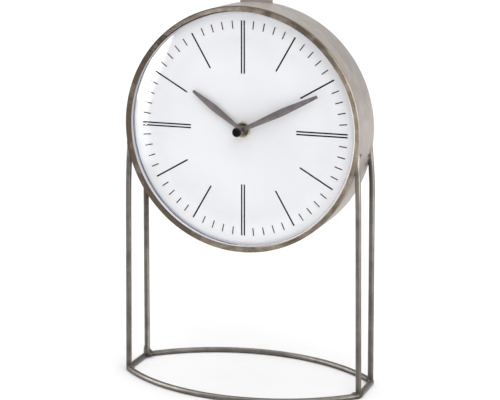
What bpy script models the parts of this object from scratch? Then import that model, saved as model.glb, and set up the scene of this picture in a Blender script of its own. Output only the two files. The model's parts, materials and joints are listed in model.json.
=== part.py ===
"""A table clock: a round drum case held by four slim legs on a boat-shaped base ring.

Metres, +Z up. The dial faces -Y and the origin is at the middle of the base, where it stands.
A depth is measured from the front of the bezel towards the back of the case.
"""

import math

import bpy
import bmesh
from mathutils import Vector

# Gaps between pieces
SEAT_GAP = 0.0003
RUNNING_GAP = 0.0003
CUT_OVERRUN = 0.004
MERGE_DISTANCE = 0.000001

# Drum case
CASE_RADIUS = 0.1015
CASE_DEPTH = 0.0425
CASE_WALL = 0.0009
CENTRE_HEIGHT = 0.2164
BEZEL_WIDTH = 0.0048
BEZEL_THICKNESS = 0.0016
BEZEL_ROUNDING = 0.0006
INNER_RING_STEP = 0.0002
INNER_RING_WALL = 0.0016

# Dial and glass
DIAL_DEPTH = 0.0088
DIAL_THICKNESS = 0.0008
BACKING_THICKNESS = 0.003
GLASS_THICKNESS = 0.002
GLASS_CLEARANCE = 0.0019

# Back of the case
COVER_THICKNESS = 0.0012
COVER_RECESS = 0.002
WINDOW_RADIUS = 0.044
WINDOW_LIP = 0.0026
WINDOW_LIP_WALL = 0.0012
POST_RADIUS = 0.004
POST_BORE_DEPTH = 0.011
POST_ANGLES = (45, 135, 225, 315)
SCREW_RADIUS = 0.00125
SCREW_LENGTH = 0.009
SCREW_HEAD_RADIUS = 0.0028
SCREW_HEAD_HEIGHT = 0.0013
SCREW_SLOT_WIDTH = 0.0008
SCREW_SLOT_DEPTH = 0.0006

# Hanging tab at the top of the back
TAB_WIDTH = 0.028
TAB_THICKNESS = 0.0024
TAB_NECK = 0.0065
TAB_HOLE_RADIUS = 0.004
TAB_INSET = 0.0002

# Stand
ROD_RADIUS = 0.002375
STANDING_FLAT = 0.00025
LEG_TOP_DROP = 0.0104
LEG_LEAN_LENGTH = 0.036
LEG_TOP_INSET = 0.0031
LEG_KNEE_INSET = 0.00103
LEG_SPLAY = 0.0028
KNEE_BLEND = 0.014
BASE_CORNER_RADIUS = 0.006
BASE_ARC_HALF_ANGLE = math.radians(43.5)

# Clamping of the movement to the dial
BUSH_RADIUS = 0.004
BUSH_BORE = 0.0028
BUSH_REACH = 0.0025
BUSH_FLANGE_RADIUS = 0.006
BUSH_FLANGE_THICKNESS = 0.0008
NUT_ACROSS_FLATS = 0.012
NUT_THICKNESS = 0.002
NUT_CHAMFER = 0.0005
NUT_CHAMFER_START_SHARE = 0.15
WASHER_WIDTH = 0.0036
WASHER_THICKNESS = 0.001

# Movement case
MOVEMENT_WALL = 0.0012
MOVEMENT_CORNER = 0.002
BAY_CLEARANCE = 0.00045
CONTACT_SPACE = 0.0018
MOTOR_CLEARANCE = 0.00035
WHEEL_CLEARANCE = 0.0021

# Wheels of the movement
WHEEL_THICKNESS = 0.0008
LAYER_SPACE = 0.0005
ARBOR_RADIUS = 0.0003
SETTING_SHAFT_RADIUS = 0.0006
MOTION_MODULE = 0.00048
CENTRE_MODULE = 0.00033
SECONDS_MODULE = 0.00044
ROTOR_MODULE = 0.0003
MESH_SLACK = 0.00006
CANNON_TEETH = 10
MINUTE_WHEEL_TEETH = 30
MINUTE_PINION_TEETH = 8
HOUR_WHEEL_TEETH = 32
TRAIN_PINION_TEETH = 6
INTERMEDIATE_TEETH = 30
SECONDS_TEETH = 36
THIRD_TEETH = 45
CENTRE_TEETH = 48
MINUTE_WHEEL_ANGLE = math.radians(165)
THIRD_WHEEL_ANGLE = math.radians(90)
INTERMEDIATE_ANGLE = math.radians(15)
ROTOR_ANGLE = math.radians(50)
TOOTH_RISE_SHARE = 0.9
TOOTH_ROOT_SHARE = 1.15
TOOTH_ROOT_WIDTH_SHARE = 0.3
TOOTH_TIP_WIDTH_SHARE = 0.12

# Motor and electrics
MAGNET_RADIUS = 0.0029
MAGNET_LENGTH = 0.0026
STATOR_THICKNESS = 0.0008
STATOR_WIDTH = 0.0027
STATOR_GAP = 0.0005
STATOR_RING_WALL = 0.0012
STATOR_SIDE_SPACE = 0.0035
COIL_TOP_SPACE = 0.0027
COIL_CORE_RADIUS = 0.0013
COIL_RADIUS = 0.0027
BOBBIN_RADIUS = 0.0031
BOBBIN_FLANGE = 0.0009
BOARD_WIDTH = 0.019
BOARD_HEIGHT = 0.0135
BOARD_THICKNESS = 0.0008
BOARD_MARGIN = 0.0018
CHIP_SIZE = 0.005
CHIP_THICKNESS = 0.001
CRYSTAL_RADIUS = 0.001
CRYSTAL_LENGTH = 0.006
CRYSTAL_OFFSET = 0.0055
BATTERY_RADIUS = 0.00715
BATTERY_LENGTH = 0.050
BATTERY_TIP_RADIUS = 0.0027
BATTERY_TIP_LENGTH = 0.001
BATTERY_ROUNDING = 0.0008
CONTACT_THICKNESS = 0.0004
CONTACT_WIDTH = 0.008
CONTACT_HEIGHT = 0.009

# Setting knob
KNOB_RADIUS = 0.006
KNOB_THICKNESS = 0.004
KNOB_FLUTES = 20
KNOB_FLUTE_DEPTH = 0.0004
KNOB_BORE_DEPTH = 0.003

# Hands
HAND_THICKNESS = 0.0005
HAND_EYE_RADIUS = 0.0042
HAND_NECK_WIDTH = 0.0032
HAND_LEAF_WIDTH = 0.006
HAND_TIP_WIDTH = 0.0017
HAND_WIDEST_SHARE = 0.52
COLLET_RADIUS = 0.0036
COLLET_LENGTH = 0.0011
MINUTE_TIP_CLEARANCE = 0.0244
HOUR_TIP_STEP = 0.0205
HAND_SPACING = 0.0029
HOUR_ANGLE = math.radians(305.4)
MINUTE_ANGLE = math.radians(64.3)
HOUR_TUBE_WALL = 0.0006
COLLAR_RADIUS = 0.0039
COLLAR_LENGTH = 0.0076
CAP_RADIUS = 0.0035
CAP_THICKNESS = 0.0012
CAP_ROUNDING = 0.0003

# Fineness of round pieces
BIG_STEPS = 72
MIDDLE_STEPS = 32
SMALL_STEPS = 12
ROD_BEVEL_STEPS = 4
BASE_ARC_STEPS = 12
CORNER_STEPS = 4
GLASS_STEPS = 6
LEAF_STEPS = 6

# Depths and radii that follow from the sizes above
FACE_Y = -CASE_DEPTH / 2
LEG_Y = CASE_DEPTH / 2 - ROD_RADIUS
KNEE_X = CASE_RADIUS - LEG_KNEE_INSET
FOOT_X = KNEE_X + LEG_SPLAY
LEG_TOP_X = CASE_RADIUS - LEG_TOP_INSET
LEG_TOP_HEIGHT = CENTRE_HEIGHT - LEG_TOP_DROP
KNEE_HEIGHT = LEG_TOP_HEIGHT - LEG_LEAN_LENGTH
BEZEL_INNER_RADIUS = CASE_RADIUS - BEZEL_WIDTH
CASE_INNER_RADIUS = CASE_RADIUS - CASE_WALL
CASE_FRONT = BEZEL_THICKNESS + SEAT_GAP
INNER_RING_RADIUS = BEZEL_INNER_RADIUS + INNER_RING_STEP
DISC_RADIUS = CASE_INNER_RADIUS - SEAT_GAP
BACKING_FRONT = DIAL_DEPTH + DIAL_THICKNESS + SEAT_GAP
BACKING_REAR = BACKING_FRONT + BACKING_THICKNESS
MOVEMENT_FRONT = BACKING_REAR + WASHER_THICKNESS + 2 * SEAT_GAP
MOVEMENT_FLOOR = MOVEMENT_FRONT + MOVEMENT_WALL
PIVOT_FRONT = MOVEMENT_FLOOR + RUNNING_GAP
COVER_REAR = CASE_DEPTH - COVER_RECESS
COVER_FRONT = COVER_REAR - COVER_THICKNESS
POST_RING_RADIUS = CASE_INNER_RADIUS * math.cos(math.pi / BIG_STEPS) - SEAT_GAP - POST_RADIUS
BASE_HEIGHT = ROD_RADIUS - STANDING_FLAT
NUT_REAR = DIAL_DEPTH - SEAT_GAP
NUT_FRONT = NUT_REAR - NUT_THICKNESS
BUSH_FRONT = DIAL_DEPTH - BUSH_REACH
BUSH_HOLE_RADIUS = BUSH_RADIUS + SEAT_GAP
MINUTE_HAND_LENGTH = INNER_RING_RADIUS - MINUTE_TIP_CLEARANCE
HOUR_HAND_LENGTH = MINUTE_HAND_LENGTH - HOUR_TIP_STEP
HOUR_TUBE_RADIUS = BUSH_BORE - RUNNING_GAP
HOUR_TUBE_BORE = HOUR_TUBE_RADIUS - HOUR_TUBE_WALL
MINUTE_ARBOR_RADIUS = HOUR_TUBE_BORE - RUNNING_GAP
HOUR_HAND_DEPTH = BUSH_FRONT - SEAT_GAP - COLLET_LENGTH / 2
MINUTE_HAND_DEPTH = HOUR_HAND_DEPTH - HAND_SPACING
COLLAR_REAR = MINUTE_HAND_DEPTH - COLLET_LENGTH / 2 - SEAT_GAP
COLLAR_FRONT = COLLAR_REAR - COLLAR_LENGTH
CAP_REAR = COLLAR_FRONT - SEAT_GAP
CAP_FRONT = CAP_REAR - CAP_THICKNESS
GLASS_RISE = DIAL_DEPTH - SEAT_GAP - CAP_FRONT + GLASS_CLEARANCE

CLOCK = bpy.data.collections.new("table_clock")
CUTTERS = bpy.data.collections.new("cutters")


def start_scene():
    """An empty scene with one collection for the clock and one for its cutters."""
    for old in list(bpy.data.objects):
        bpy.data.objects.remove(old, do_unlink=True)
    for collection in (CLOCK, CUTTERS):
        bpy.context.scene.collection.children.link(collection)


def finish(name, colour, roughness, metallic=0.0, alpha=1.0):
    """A Principled material, made once for each name."""
    made = bpy.data.materials.get(name)
    if made:
        return made
    made = bpy.data.materials.new(name)
    made.use_nodes = True
    shader = made.node_tree.nodes["Principled BSDF"]
    shader.inputs["Base Color"].default_value = (*colour, 1.0)
    shader.inputs["Roughness"].default_value = roughness
    shader.inputs["Metallic"].default_value = metallic
    shader.inputs["Alpha"].default_value = alpha
    made.diffuse_color = (*colour, alpha)
    return made


def place(obj, x, depth, z):
    """Turns a shape drawn in its own XY plane to face the front, at a place on the case."""
    obj.rotation_euler = (math.pi / 2, 0.0, 0.0)
    obj.location = (x, FACE_Y + depth, CENTRE_HEIGHT + z)
    return obj


def add(name, mesh, material):
    obj = bpy.data.objects.new(name, mesh)
    CLOCK.objects.link(obj)
    if material:
        mesh.materials.append(material)
    return obj


def smooth(obj):
    mesh = obj.data
    mesh.shade_smooth()
    mesh.set_sharp_from_angle(angle=math.radians(35))
    return obj


def as_cutter(obj):
    """Moves a shape to the cutters, which are not part of the clock."""
    for collection in list(obj.users_collection):
        collection.objects.unlink(obj)
    CUTTERS.objects.link(obj)
    obj.hide_render = True
    obj.display_type = "WIRE"
    return obj


def combine(obj, other, operation):
    """Joins or cuts with a Boolean, whose other shape becomes a helper."""
    as_cutter(other)
    boolean = obj.modifiers.new(other.name, "BOOLEAN")
    boolean.operation = operation
    boolean.object = other
    return obj


def mesh_from_curve(curve_object, name, material):
    """Replaces a curve by its mesh, with the caps welded to the sides."""
    bpy.context.view_layer.update()
    graph = bpy.context.evaluated_depsgraph_get()
    mesh = bpy.data.meshes.new_from_object(curve_object.evaluated_get(graph))
    mesh.name = name
    shape = bmesh.new()
    shape.from_mesh(mesh)
    bmesh.ops.remove_doubles(shape, verts=shape.verts, dist=MERGE_DISTANCE)
    bmesh.ops.recalc_face_normals(shape, faces=shape.faces)
    shape.to_mesh(mesh)
    shape.free()
    made = add(name, mesh, material)
    made.matrix_world = curve_object.matrix_world
    bpy.data.objects.remove(curve_object, do_unlink=True)
    return made


def spline_of(curve, points, cyclic):
    spline = curve.splines.new("POLY")
    spline.points.add(len(points) - 1)
    for point, place_of_it in zip(spline.points, points):
        point.co = (*place_of_it, 1.0)
    spline.use_cyclic_u = cyclic


def turned(name, profile, steps, material, x=0.0, depth=0.0, z=0.0):
    """A shape turned about the line through the dial; the profile holds (radius, depth) pairs."""
    points = [(radius, -behind) for radius, behind in profile]
    pairs = zip(points, points[1:] + points[:1])
    area = sum(a[0] * b[1] - b[0] * a[1] for a, b in pairs)
    if area > 0:
        points.reverse()
    on_axis = points[0][0] == 0 and points[-1][0] == 0
    count = len(points)
    edges = [(i, i + 1) for i in range(count - 1)]
    if not on_axis:
        edges.append((count - 1, 0))
    mesh = bpy.data.meshes.new(name)
    mesh.from_pydata([(radius, 0.0, height) for radius, height in points], edges, [])
    obj = add(name, mesh, material)
    screw = obj.modifiers.new("turn", "SCREW")
    screw.angle = 2 * math.pi
    screw.steps = steps
    screw.render_steps = steps
    screw.use_merge_vertices = True
    screw.merge_threshold = MERGE_DISTANCE
    screw.use_smooth_shade = True
    return place(obj, x, depth, z)


def disc(name, radius, front, rear, steps, material, bore=0.0, x=0.0, z=0.0):
    """A round plate, plain or with a bore, between two depths."""
    return turned(
        name, [(bore, front), (radius, front), (radius, rear), (bore, rear)], steps, material, x=x, z=z
    )


def flat(name, outlines, front, rear, material, x=0.0, z=0.0):
    """A flat plate between two depths; the first outline is its edge and the others are holes."""
    curve = bpy.data.curves.new(name, "CURVE")
    curve.dimensions = "2D"
    curve.fill_mode = "BOTH"
    curve.extrude = (rear - front) / 2
    for outline in outlines:
        spline_of(curve, [(u, v, 0.0) for u, v in outline], True)
    obj = bpy.data.objects.new(name + "_outline", curve)
    CLOCK.objects.link(obj)
    place(obj, x, (front + rear) / 2, z)
    return mesh_from_curve(obj, name, material)


def rod(name, points, radius, cyclic, material):
    """A round rod along a line of points."""
    curve = bpy.data.curves.new(name, "CURVE")
    curve.dimensions = "3D"
    curve.twist_mode = "Z_UP" if cyclic else "MINIMUM"
    curve.bevel_depth = radius
    curve.bevel_resolution = ROD_BEVEL_STEPS
    curve.use_fill_caps = not cyclic
    spline_of(curve, points, cyclic)
    obj = bpy.data.objects.new(name + "_line", curve)
    CLOCK.objects.link(obj)
    return smooth(mesh_from_curve(obj, name, material))


def block(name, low, high, material):
    """A box between two corners, each an (x, depth, z) place on the case."""
    size = [b - a for a, b in zip(low, high)]
    mesh = bpy.data.meshes.new(name)
    shape = bmesh.new()
    bmesh.ops.create_cube(shape, size=1.0)
    bmesh.ops.scale(shape, vec=size, verts=shape.verts)
    shape.to_mesh(mesh)
    shape.free()
    obj = add(name, mesh, material)
    middle = [(a + b) / 2 for a, b in zip(low, high)]
    obj.location = (middle[0], FACE_Y + middle[1], CENTRE_HEIGHT + middle[2])
    return obj


def circle(radius, steps, x=0.0, z=0.0):
    angles = [2 * math.pi * i / steps for i in range(steps)]
    return [(x + radius * math.cos(a), z + radius * math.sin(a)) for a in angles]


def polar(radius, angle):
    return radius * math.cos(angle), radius * math.sin(angle)


def steel():
    return finish("aged_nickel_steel", (0.36, 0.345, 0.325), 0.38, 1.0)


def bezel_steel():
    return finish("bezel_steel", (0.23, 0.205, 0.175), 0.42, 1.0)


def rod_steel():
    return finish("rod_steel", (0.26, 0.245, 0.225), 0.36, 1.0)


def brass():
    return finish("brass", (0.48, 0.40, 0.20), 0.35, 1.0)


def black_plastic():
    return finish("black_plastic", (0.012, 0.012, 0.012), 0.4)


def white_plastic():
    return finish("white_plastic", (0.82, 0.82, 0.80), 0.45)


def zinc_steel():
    return finish("zinc_steel", (0.55, 0.55, 0.54), 0.4, 1.0)


# The case


def drum_shell():
    return disc(
        "drum_shell", CASE_RADIUS, CASE_FRONT, CASE_DEPTH, BIG_STEPS, steel(), bore=CASE_INNER_RADIUS
    )


def bezel_ring():
    profile = [
        (BEZEL_INNER_RADIUS, 0.0),
        (CASE_RADIUS - BEZEL_ROUNDING, 0.0),
        (CASE_RADIUS, BEZEL_ROUNDING),
        (CASE_RADIUS, BEZEL_THICKNESS),
        (BEZEL_INNER_RADIUS, BEZEL_THICKNESS),
    ]
    return turned("bezel_ring", profile, BIG_STEPS, bezel_steel())


def inner_ring():
    outer = INNER_RING_RADIUS + INNER_RING_WALL
    rear = DIAL_DEPTH - SEAT_GAP
    return disc("inner_ring", outer, CASE_FRONT, rear, BIG_STEPS, white_plastic(), bore=INNER_RING_RADIUS)


def dome_glass():
    """A shallow dome, held at its rim inside the inner ring, just in front of the dial."""
    rim = INNER_RING_RADIUS * math.cos(math.pi / BIG_STEPS) - SEAT_GAP
    rear = DIAL_DEPTH - SEAT_GAP
    inner_sphere = (rim**2 + GLASS_RISE**2) / (2 * GLASS_RISE)
    centre = rear - GLASS_RISE + inner_sphere
    outer_sphere = inner_sphere + GLASS_THICKNESS

    def dome(sphere):
        reach = math.asin(rim / sphere)
        angles = [reach * i / GLASS_STEPS for i in range(GLASS_STEPS + 1)]
        arc = [(sphere * math.sin(a), centre - sphere * math.cos(a)) for a in angles]
        return [(0.0, arc[0][1])] + arc[1:]

    profile = dome(outer_sphere) + dome(inner_sphere)[::-1]
    clear = finish("clear_glass", (0.93, 0.95, 0.95), 0.03, 0.0, 0.25)
    return turned("dome_glass", profile, BIG_STEPS, clear)


def dial_plate():
    rear = DIAL_DEPTH + DIAL_THICKNESS
    white = finish("dial_white", (0.86, 0.87, 0.88), 0.5)
    return disc("dial_plate", DISC_RADIUS, DIAL_DEPTH, rear, BIG_STEPS, white, bore=BUSH_HOLE_RADIUS)


def dial_backing():
    brown = finish("hardboard", (0.30, 0.19, 0.11), 0.8)
    return disc(
        "dial_backing", DISC_RADIUS, BACKING_FRONT, BACKING_REAR, BIG_STEPS, brown, bore=BUSH_HOLE_RADIUS
    )


def rear_cover():
    """A plate set into the back, with a round window that has a turned-in lip."""
    lip_front = COVER_FRONT - WINDOW_LIP
    profile = [
        (WINDOW_RADIUS, lip_front),
        (WINDOW_RADIUS, COVER_REAR),
        (DISC_RADIUS, COVER_REAR),
        (DISC_RADIUS, COVER_FRONT),
        (WINDOW_RADIUS + WINDOW_LIP_WALL, COVER_FRONT),
        (WINDOW_RADIUS + WINDOW_LIP_WALL, lip_front),
    ]
    cover = turned("rear_cover", profile, BIG_STEPS, steel())
    front, rear = COVER_FRONT - CUT_OVERRUN, COVER_REAR + CUT_OVERRUN
    for number, angle in enumerate(POST_ANGLES, 1):
        x, z = polar(POST_RING_RADIUS, math.radians(angle))
        hole = disc(
            f"cover_hole_{number}", SCREW_RADIUS + SEAT_GAP, front, rear, SMALL_STEPS, None, x=x, z=z
        )
        combine(cover, hole, "DIFFERENCE")
    return cover


def cover_posts():
    """Posts welded to the inside of the drum, between the dial's backing and the rear cover."""
    front, rear = BACKING_REAR + SEAT_GAP, COVER_FRONT - SEAT_GAP
    bore = SCREW_RADIUS + SEAT_GAP
    floor = rear - POST_BORE_DEPTH
    profile = [
        (0.0, front),
        (POST_RADIUS, front),
        (POST_RADIUS, rear),
        (bore, rear),
        (bore, floor),
        (0.0, floor),
    ]
    for number, angle in enumerate(POST_ANGLES, 1):
        x, z = polar(POST_RING_RADIUS, math.radians(angle))
        turned(f"cover_post_{number}", profile, SMALL_STEPS, zinc_steel(), x=x, z=z)


def cover_screws():
    under_head = COVER_REAR + SEAT_GAP
    top = under_head + SCREW_HEAD_HEIGHT
    profile = [
        (0.0, top),
        (SCREW_HEAD_RADIUS - SCREW_SLOT_DEPTH, top),
        (SCREW_HEAD_RADIUS, top - SCREW_SLOT_DEPTH),
        (SCREW_HEAD_RADIUS, under_head),
        (SCREW_RADIUS, under_head),
        (SCREW_RADIUS, under_head - SCREW_LENGTH),
        (0.0, under_head - SCREW_LENGTH),
    ]
    for number, angle in enumerate(POST_ANGLES, 1):
        x, z = polar(POST_RING_RADIUS, math.radians(angle))
        screw = turned(f"cover_screw_{number}", profile, SMALL_STEPS, zinc_steel(), x=x, z=z)
        low = (
            x - SCREW_HEAD_RADIUS - CUT_OVERRUN,
            top - SCREW_SLOT_DEPTH,
            z - SCREW_SLOT_WIDTH / 2,
        )
        high = (
            x + SCREW_HEAD_RADIUS + CUT_OVERRUN,
            top + CUT_OVERRUN,
            z + SCREW_SLOT_WIDTH / 2,
        )
        combine(screw, block(f"screw_slot_{number}", low, high, None), "DIFFERENCE")


def drum_cutter(name):
    """The drum's own outside, one seat gap larger, which shapes what is welded to it."""
    return disc(
        name, CASE_RADIUS + SEAT_GAP, -CUT_OVERRUN, CASE_DEPTH + CUT_OVERRUN, BIG_STEPS, None
    )


def hanger_tab():
    """A rounded tab with a hole, welded on top of the drum at its rear edge."""
    half = TAB_WIDTH / 2
    shoulder = CASE_RADIUS + TAB_NECK
    steps = SMALL_STEPS
    top = [
        (half * math.cos(math.pi * i / steps), shoulder + half * math.sin(math.pi * i / steps))
        for i in range(steps + 1)
    ]
    edge = top + [(-half, CASE_INNER_RADIUS - half / 2), (half, CASE_INNER_RADIUS - half / 2)]
    rear = CASE_DEPTH - TAB_INSET
    hole = circle(TAB_HOLE_RADIUS, SMALL_STEPS, 0.0, shoulder)
    tab = flat("hanger_tab", [edge, hole], rear - TAB_THICKNESS, rear, steel())
    return combine(tab, drum_cutter("tab_seat"), "DIFFERENCE")


# The stand


def base_line():
    """The middle line of the base ring: two short sides and two long bowed ones, round at the corners."""
    turn = math.pi / 2 - BASE_ARC_HALF_ANGLE
    corner_x = FOOT_X - BASE_CORNER_RADIUS * math.cos(turn / 2)
    corner_y = LEG_Y - BASE_CORNER_RADIUS * math.sin(turn / 2)
    arc_end_x = corner_x + BASE_CORNER_RADIUS * math.cos(turn)
    arc_end_y = corner_y + BASE_CORNER_RADIUS * math.sin(turn)
    arc_radius = arc_end_x / math.sin(BASE_ARC_HALF_ANGLE)
    arc_centre_y = arc_end_y - arc_radius * math.cos(BASE_ARC_HALF_ANGLE)
    quarter = []
    for i in range(CORNER_STEPS):
        x, y = polar(BASE_CORNER_RADIUS, turn * i / CORNER_STEPS)
        quarter.append((corner_x + x, corner_y + y))
    for i in range(BASE_ARC_STEPS + 1):
        angle = BASE_ARC_HALF_ANGLE * (1 - i / BASE_ARC_STEPS)
        quarter.append((arc_radius * math.sin(angle), arc_centre_y + arc_radius * math.cos(angle)))
    back = quarter[-2::-1]
    loop = quarter + [(-x, y) for x, y in back]
    loop += [(-x, -y) for x, y in quarter] + [(x, -y) for x, y in back]
    return [(x, y, BASE_HEIGHT) for x, y in loop]


def base_ring():
    ring = rod("base_ring", base_line(), ROD_RADIUS, True, rod_steel())
    reach = FOOT_X + CUT_OVERRUN
    low = (-reach - ROD_RADIUS, -FOOT_X, -CENTRE_HEIGHT - ROD_RADIUS)
    high = (reach + ROD_RADIUS, FOOT_X + CASE_DEPTH, -CENTRE_HEIGHT)
    return combine(ring, block("floor_cut", low, high, None), "DIFFERENCE")


def leg_line(side, front):
    """One leg's middle line: straight and slightly splayed, then leaning in towards the drum."""
    y = LEG_Y * front
    foot = Vector((FOOT_X * side, y, 0.0))
    knee = Vector((KNEE_X * side, y, KNEE_HEIGHT))
    top = Vector((LEG_TOP_X * side, y, LEG_TOP_HEIGHT))
    down = (foot - knee).normalized()
    up = (top - knee).normalized()
    start = foot - down * (BASE_HEIGHT / abs(down.z))
    first = knee + down * KNEE_BLEND
    last = knee + up * KNEE_BLEND
    middle = (first + last) / 4 + knee / 2
    return [tuple(p) for p in (start, first, middle, last, top)]


def legs():
    sides = (("left", -1), ("right", 1))
    ends = (("front", -1), ("rear", 1))
    for end_name, end in ends:
        for side_name, side in sides:
            name = f"leg_{end_name}_{side_name}"
            leg = rod(name, leg_line(side, end), ROD_RADIUS, False, rod_steel())
            combine(leg, drum_cutter(name + "_top_seat"), "DIFFERENCE")
            seat = rod(name + "_foot_seat", base_line(), ROD_RADIUS + SEAT_GAP, True, None)
            combine(leg, seat, "DIFFERENCE")


# Clamping of the movement


def threaded_bush():
    flange_rear = MOVEMENT_FRONT - SEAT_GAP
    flange_front = flange_rear - BUSH_FLANGE_THICKNESS
    profile = [
        (BUSH_BORE, BUSH_FRONT),
        (BUSH_RADIUS, BUSH_FRONT),
        (BUSH_RADIUS, flange_front),
        (BUSH_FLANGE_RADIUS, flange_front),
        (BUSH_FLANGE_RADIUS, flange_rear),
        (BUSH_RADIUS, flange_rear),
        (BUSH_RADIUS, MOVEMENT_FLOOR),
        (BUSH_BORE, MOVEMENT_FLOOR),
    ]
    return turned("threaded_bush", profile, MIDDLE_STEPS, brass())


def rubber_washer():
    front = BACKING_REAR + SEAT_GAP
    inner = BUSH_FLANGE_RADIUS + SEAT_GAP
    rubber = finish("black_rubber", (0.02, 0.02, 0.02), 0.8)
    return disc(
        "rubber_washer",
        inner + WASHER_WIDTH,
        front,
        front + WASHER_THICKNESS,
        MIDDLE_STEPS,
        rubber,
        bore=inner,
    )


def brass_nut():
    """A hexagon nut with a corner up, turned down at the corners of its front."""
    corner = NUT_ACROSS_FLATS / math.sqrt(3)
    hexagon = [polar(corner, math.pi / 6 + math.pi / 3 * i) for i in range(6)]
    bore = circle(BUSH_HOLE_RADIUS, SMALL_STEPS)
    nut = flat("brass_nut", [hexagon, bore], NUT_FRONT, NUT_REAR, brass())
    width = (corner - NUT_ACROSS_FLATS / 2) * (1 - NUT_CHAMFER_START_SHARE)
    start = corner - width
    far = corner + CUT_OVERRUN
    profile = [
        (start, NUT_FRONT - CUT_OVERRUN),
        (far, NUT_FRONT - CUT_OVERRUN),
        (far, NUT_FRONT + NUT_CHAMFER * (far - start) / width),
        (start, NUT_FRONT),
    ]
    chamfer = turned("nut_chamfer", profile, MIDDLE_STEPS, None)
    return combine(nut, chamfer, "DIFFERENCE")


# The movement


HOUR_LAYER, MOTION_LAYER, CENTRE_LAYER, THIRD_LAYER = range(4)
SECONDS_LAYER, INTERMEDIATE_LAYER, MAGNET_LAYER = range(4, 7)


def layer(number):
    """The front of one layer of wheels, counted from the dial side."""
    return PIVOT_FRONT + LAYER_SPACE / 2 + number * (WHEEL_THICKNESS + LAYER_SPACE)


MAGNET_FRONT = layer(MAGNET_LAYER)
MOTOR_DEPTH = MAGNET_FRONT + MAGNET_LENGTH / 2
COVER_PLATE_FRONT = MOTOR_DEPTH + BOBBIN_RADIUS + MOTOR_CLEARANCE
MOVEMENT_REAR = COVER_PLATE_FRONT + MOVEMENT_WALL
MOVEMENT_SIDE_REAR = COVER_PLATE_FRONT - SEAT_GAP
PIVOT_REAR = COVER_PLATE_FRONT - RUNNING_GAP


def tip_radius(teeth, module):
    return module * (teeth / 2 + TOOTH_RISE_SHARE)


INNER_HALF = BATTERY_LENGTH / 2 + CONTACT_SPACE
MOVEMENT_HALF = INNER_HALF + MOVEMENT_WALL
WORKS_BOTTOM = -tip_radius(SECONDS_TEETH, SECONDS_MODULE) - WHEEL_CLEARANCE
BAY_TOP = WORKS_BOTTOM - MOVEMENT_WALL
BATTERY_Z = BAY_TOP - BAY_CLEARANCE - BATTERY_RADIUS
BAY_BOTTOM = BATTERY_Z - BATTERY_RADIUS - BAY_CLEARANCE
MOVEMENT_BOTTOM = BAY_BOTTOM - MOVEMENT_WALL
BATTERY_DEPTH = MOVEMENT_FLOOR + SEAT_GAP + BATTERY_RADIUS


def gear_outline(teeth, module, phase):
    """Straight-sided teeth; phase is the angle of the middle of one tooth."""
    pitch = 2 * math.pi / teeth
    tip = tip_radius(teeth, module)
    root = module * (teeth / 2 - TOOTH_ROOT_SHARE)
    outline = []
    for i in range(teeth):
        middle = phase + pitch * i
        outline.append(polar(root, middle - pitch * TOOTH_ROOT_WIDTH_SHARE))
        outline.append(polar(tip, middle - pitch * TOOTH_TIP_WIDTH_SHARE))
        outline.append(polar(tip, middle + pitch * TOOTH_TIP_WIDTH_SHARE))
        outline.append(polar(root, middle + pitch * TOOTH_ROOT_WIDTH_SHARE))
    return outline


def meshed_phase(direction, teeth, phase, other_teeth):
    """The phase of a gear in mesh with one that lies the other way along a direction."""
    pitch = 2 * math.pi / teeth
    other_pitch = 2 * math.pi / other_teeth
    along = (direction - phase) / pitch
    return direction + math.pi - other_pitch * (0.5 - along)


def centre_distance(teeth, other_teeth, module):
    return module * (teeth + other_teeth) / 2 + MESH_SLACK


THIRD_DISTANCE = centre_distance(TRAIN_PINION_TEETH, CENTRE_TEETH, CENTRE_MODULE)
THIRD_MODULE = 2 * (THIRD_DISTANCE - MESH_SLACK) / (TRAIN_PINION_TEETH + THIRD_TEETH)
SETTING_DISTANCE = centre_distance(CANNON_TEETH, MINUTE_WHEEL_TEETH, MOTION_MODULE)
INTERMEDIATE_DISTANCE = centre_distance(TRAIN_PINION_TEETH, SECONDS_TEETH, SECONDS_MODULE)
ROTOR_DISTANCE = centre_distance(TRAIN_PINION_TEETH, INTERMEDIATE_TEETH, ROTOR_MODULE)
SETTING_PLACE = polar(SETTING_DISTANCE, MINUTE_WHEEL_ANGLE)
THIRD_PLACE = polar(THIRD_DISTANCE, THIRD_WHEEL_ANGLE)
INTERMEDIATE_PLACE = polar(INTERMEDIATE_DISTANCE, INTERMEDIATE_ANGLE)
ROTOR_STEP = polar(ROTOR_DISTANCE, ROTOR_ANGLE)
ROTOR_PLACE = (INTERMEDIATE_PLACE[0] + ROTOR_STEP[0], INTERMEDIATE_PLACE[1] + ROTOR_STEP[1])


def toothed_disc(name, teeth, module, phase, number, material, spot=(0.0, 0.0), bore=0.0):
    outlines = [gear_outline(teeth, module, phase)]
    if bore:
        outlines.append(circle(bore, SMALL_STEPS))
    front = layer(number)
    return flat(name, outlines, front, front + WHEEL_THICKNESS, material, x=spot[0], z=spot[1])


def add_pinion(wheel, teeth, module, phase, number, spot=(0.0, 0.0)):
    """A pinion in the layer in front of its wheel, reaching into it."""
    outline = gear_outline(teeth, module, phase)
    rear = layer(number + 1) + WHEEL_THICKNESS / 2
    pinion = flat(wheel.name + "_pinion", [outline], layer(number), rear, None, x=spot[0], z=spot[1])
    return combine(wheel, pinion, "UNION")


def add_arbor(wheel, front, rear, spot=(0.0, 0.0), radius=ARBOR_RADIUS):
    arbor = disc(wheel.name + "_arbor", radius, front, rear, SMALL_STEPS, None, x=spot[0], z=spot[1])
    return combine(wheel, arbor, "UNION")


def pinion_wheel(name, teeth, module, phase, number, pinion_module, spot, material):
    """A wheel of the train with its pinion in the layer in front of it, on an arbor."""
    wheel = toothed_disc(name, teeth, module, phase, number, material, spot)
    add_pinion(wheel, TRAIN_PINION_TEETH, pinion_module, 0.0, number - 1, spot)
    return wheel


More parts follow.
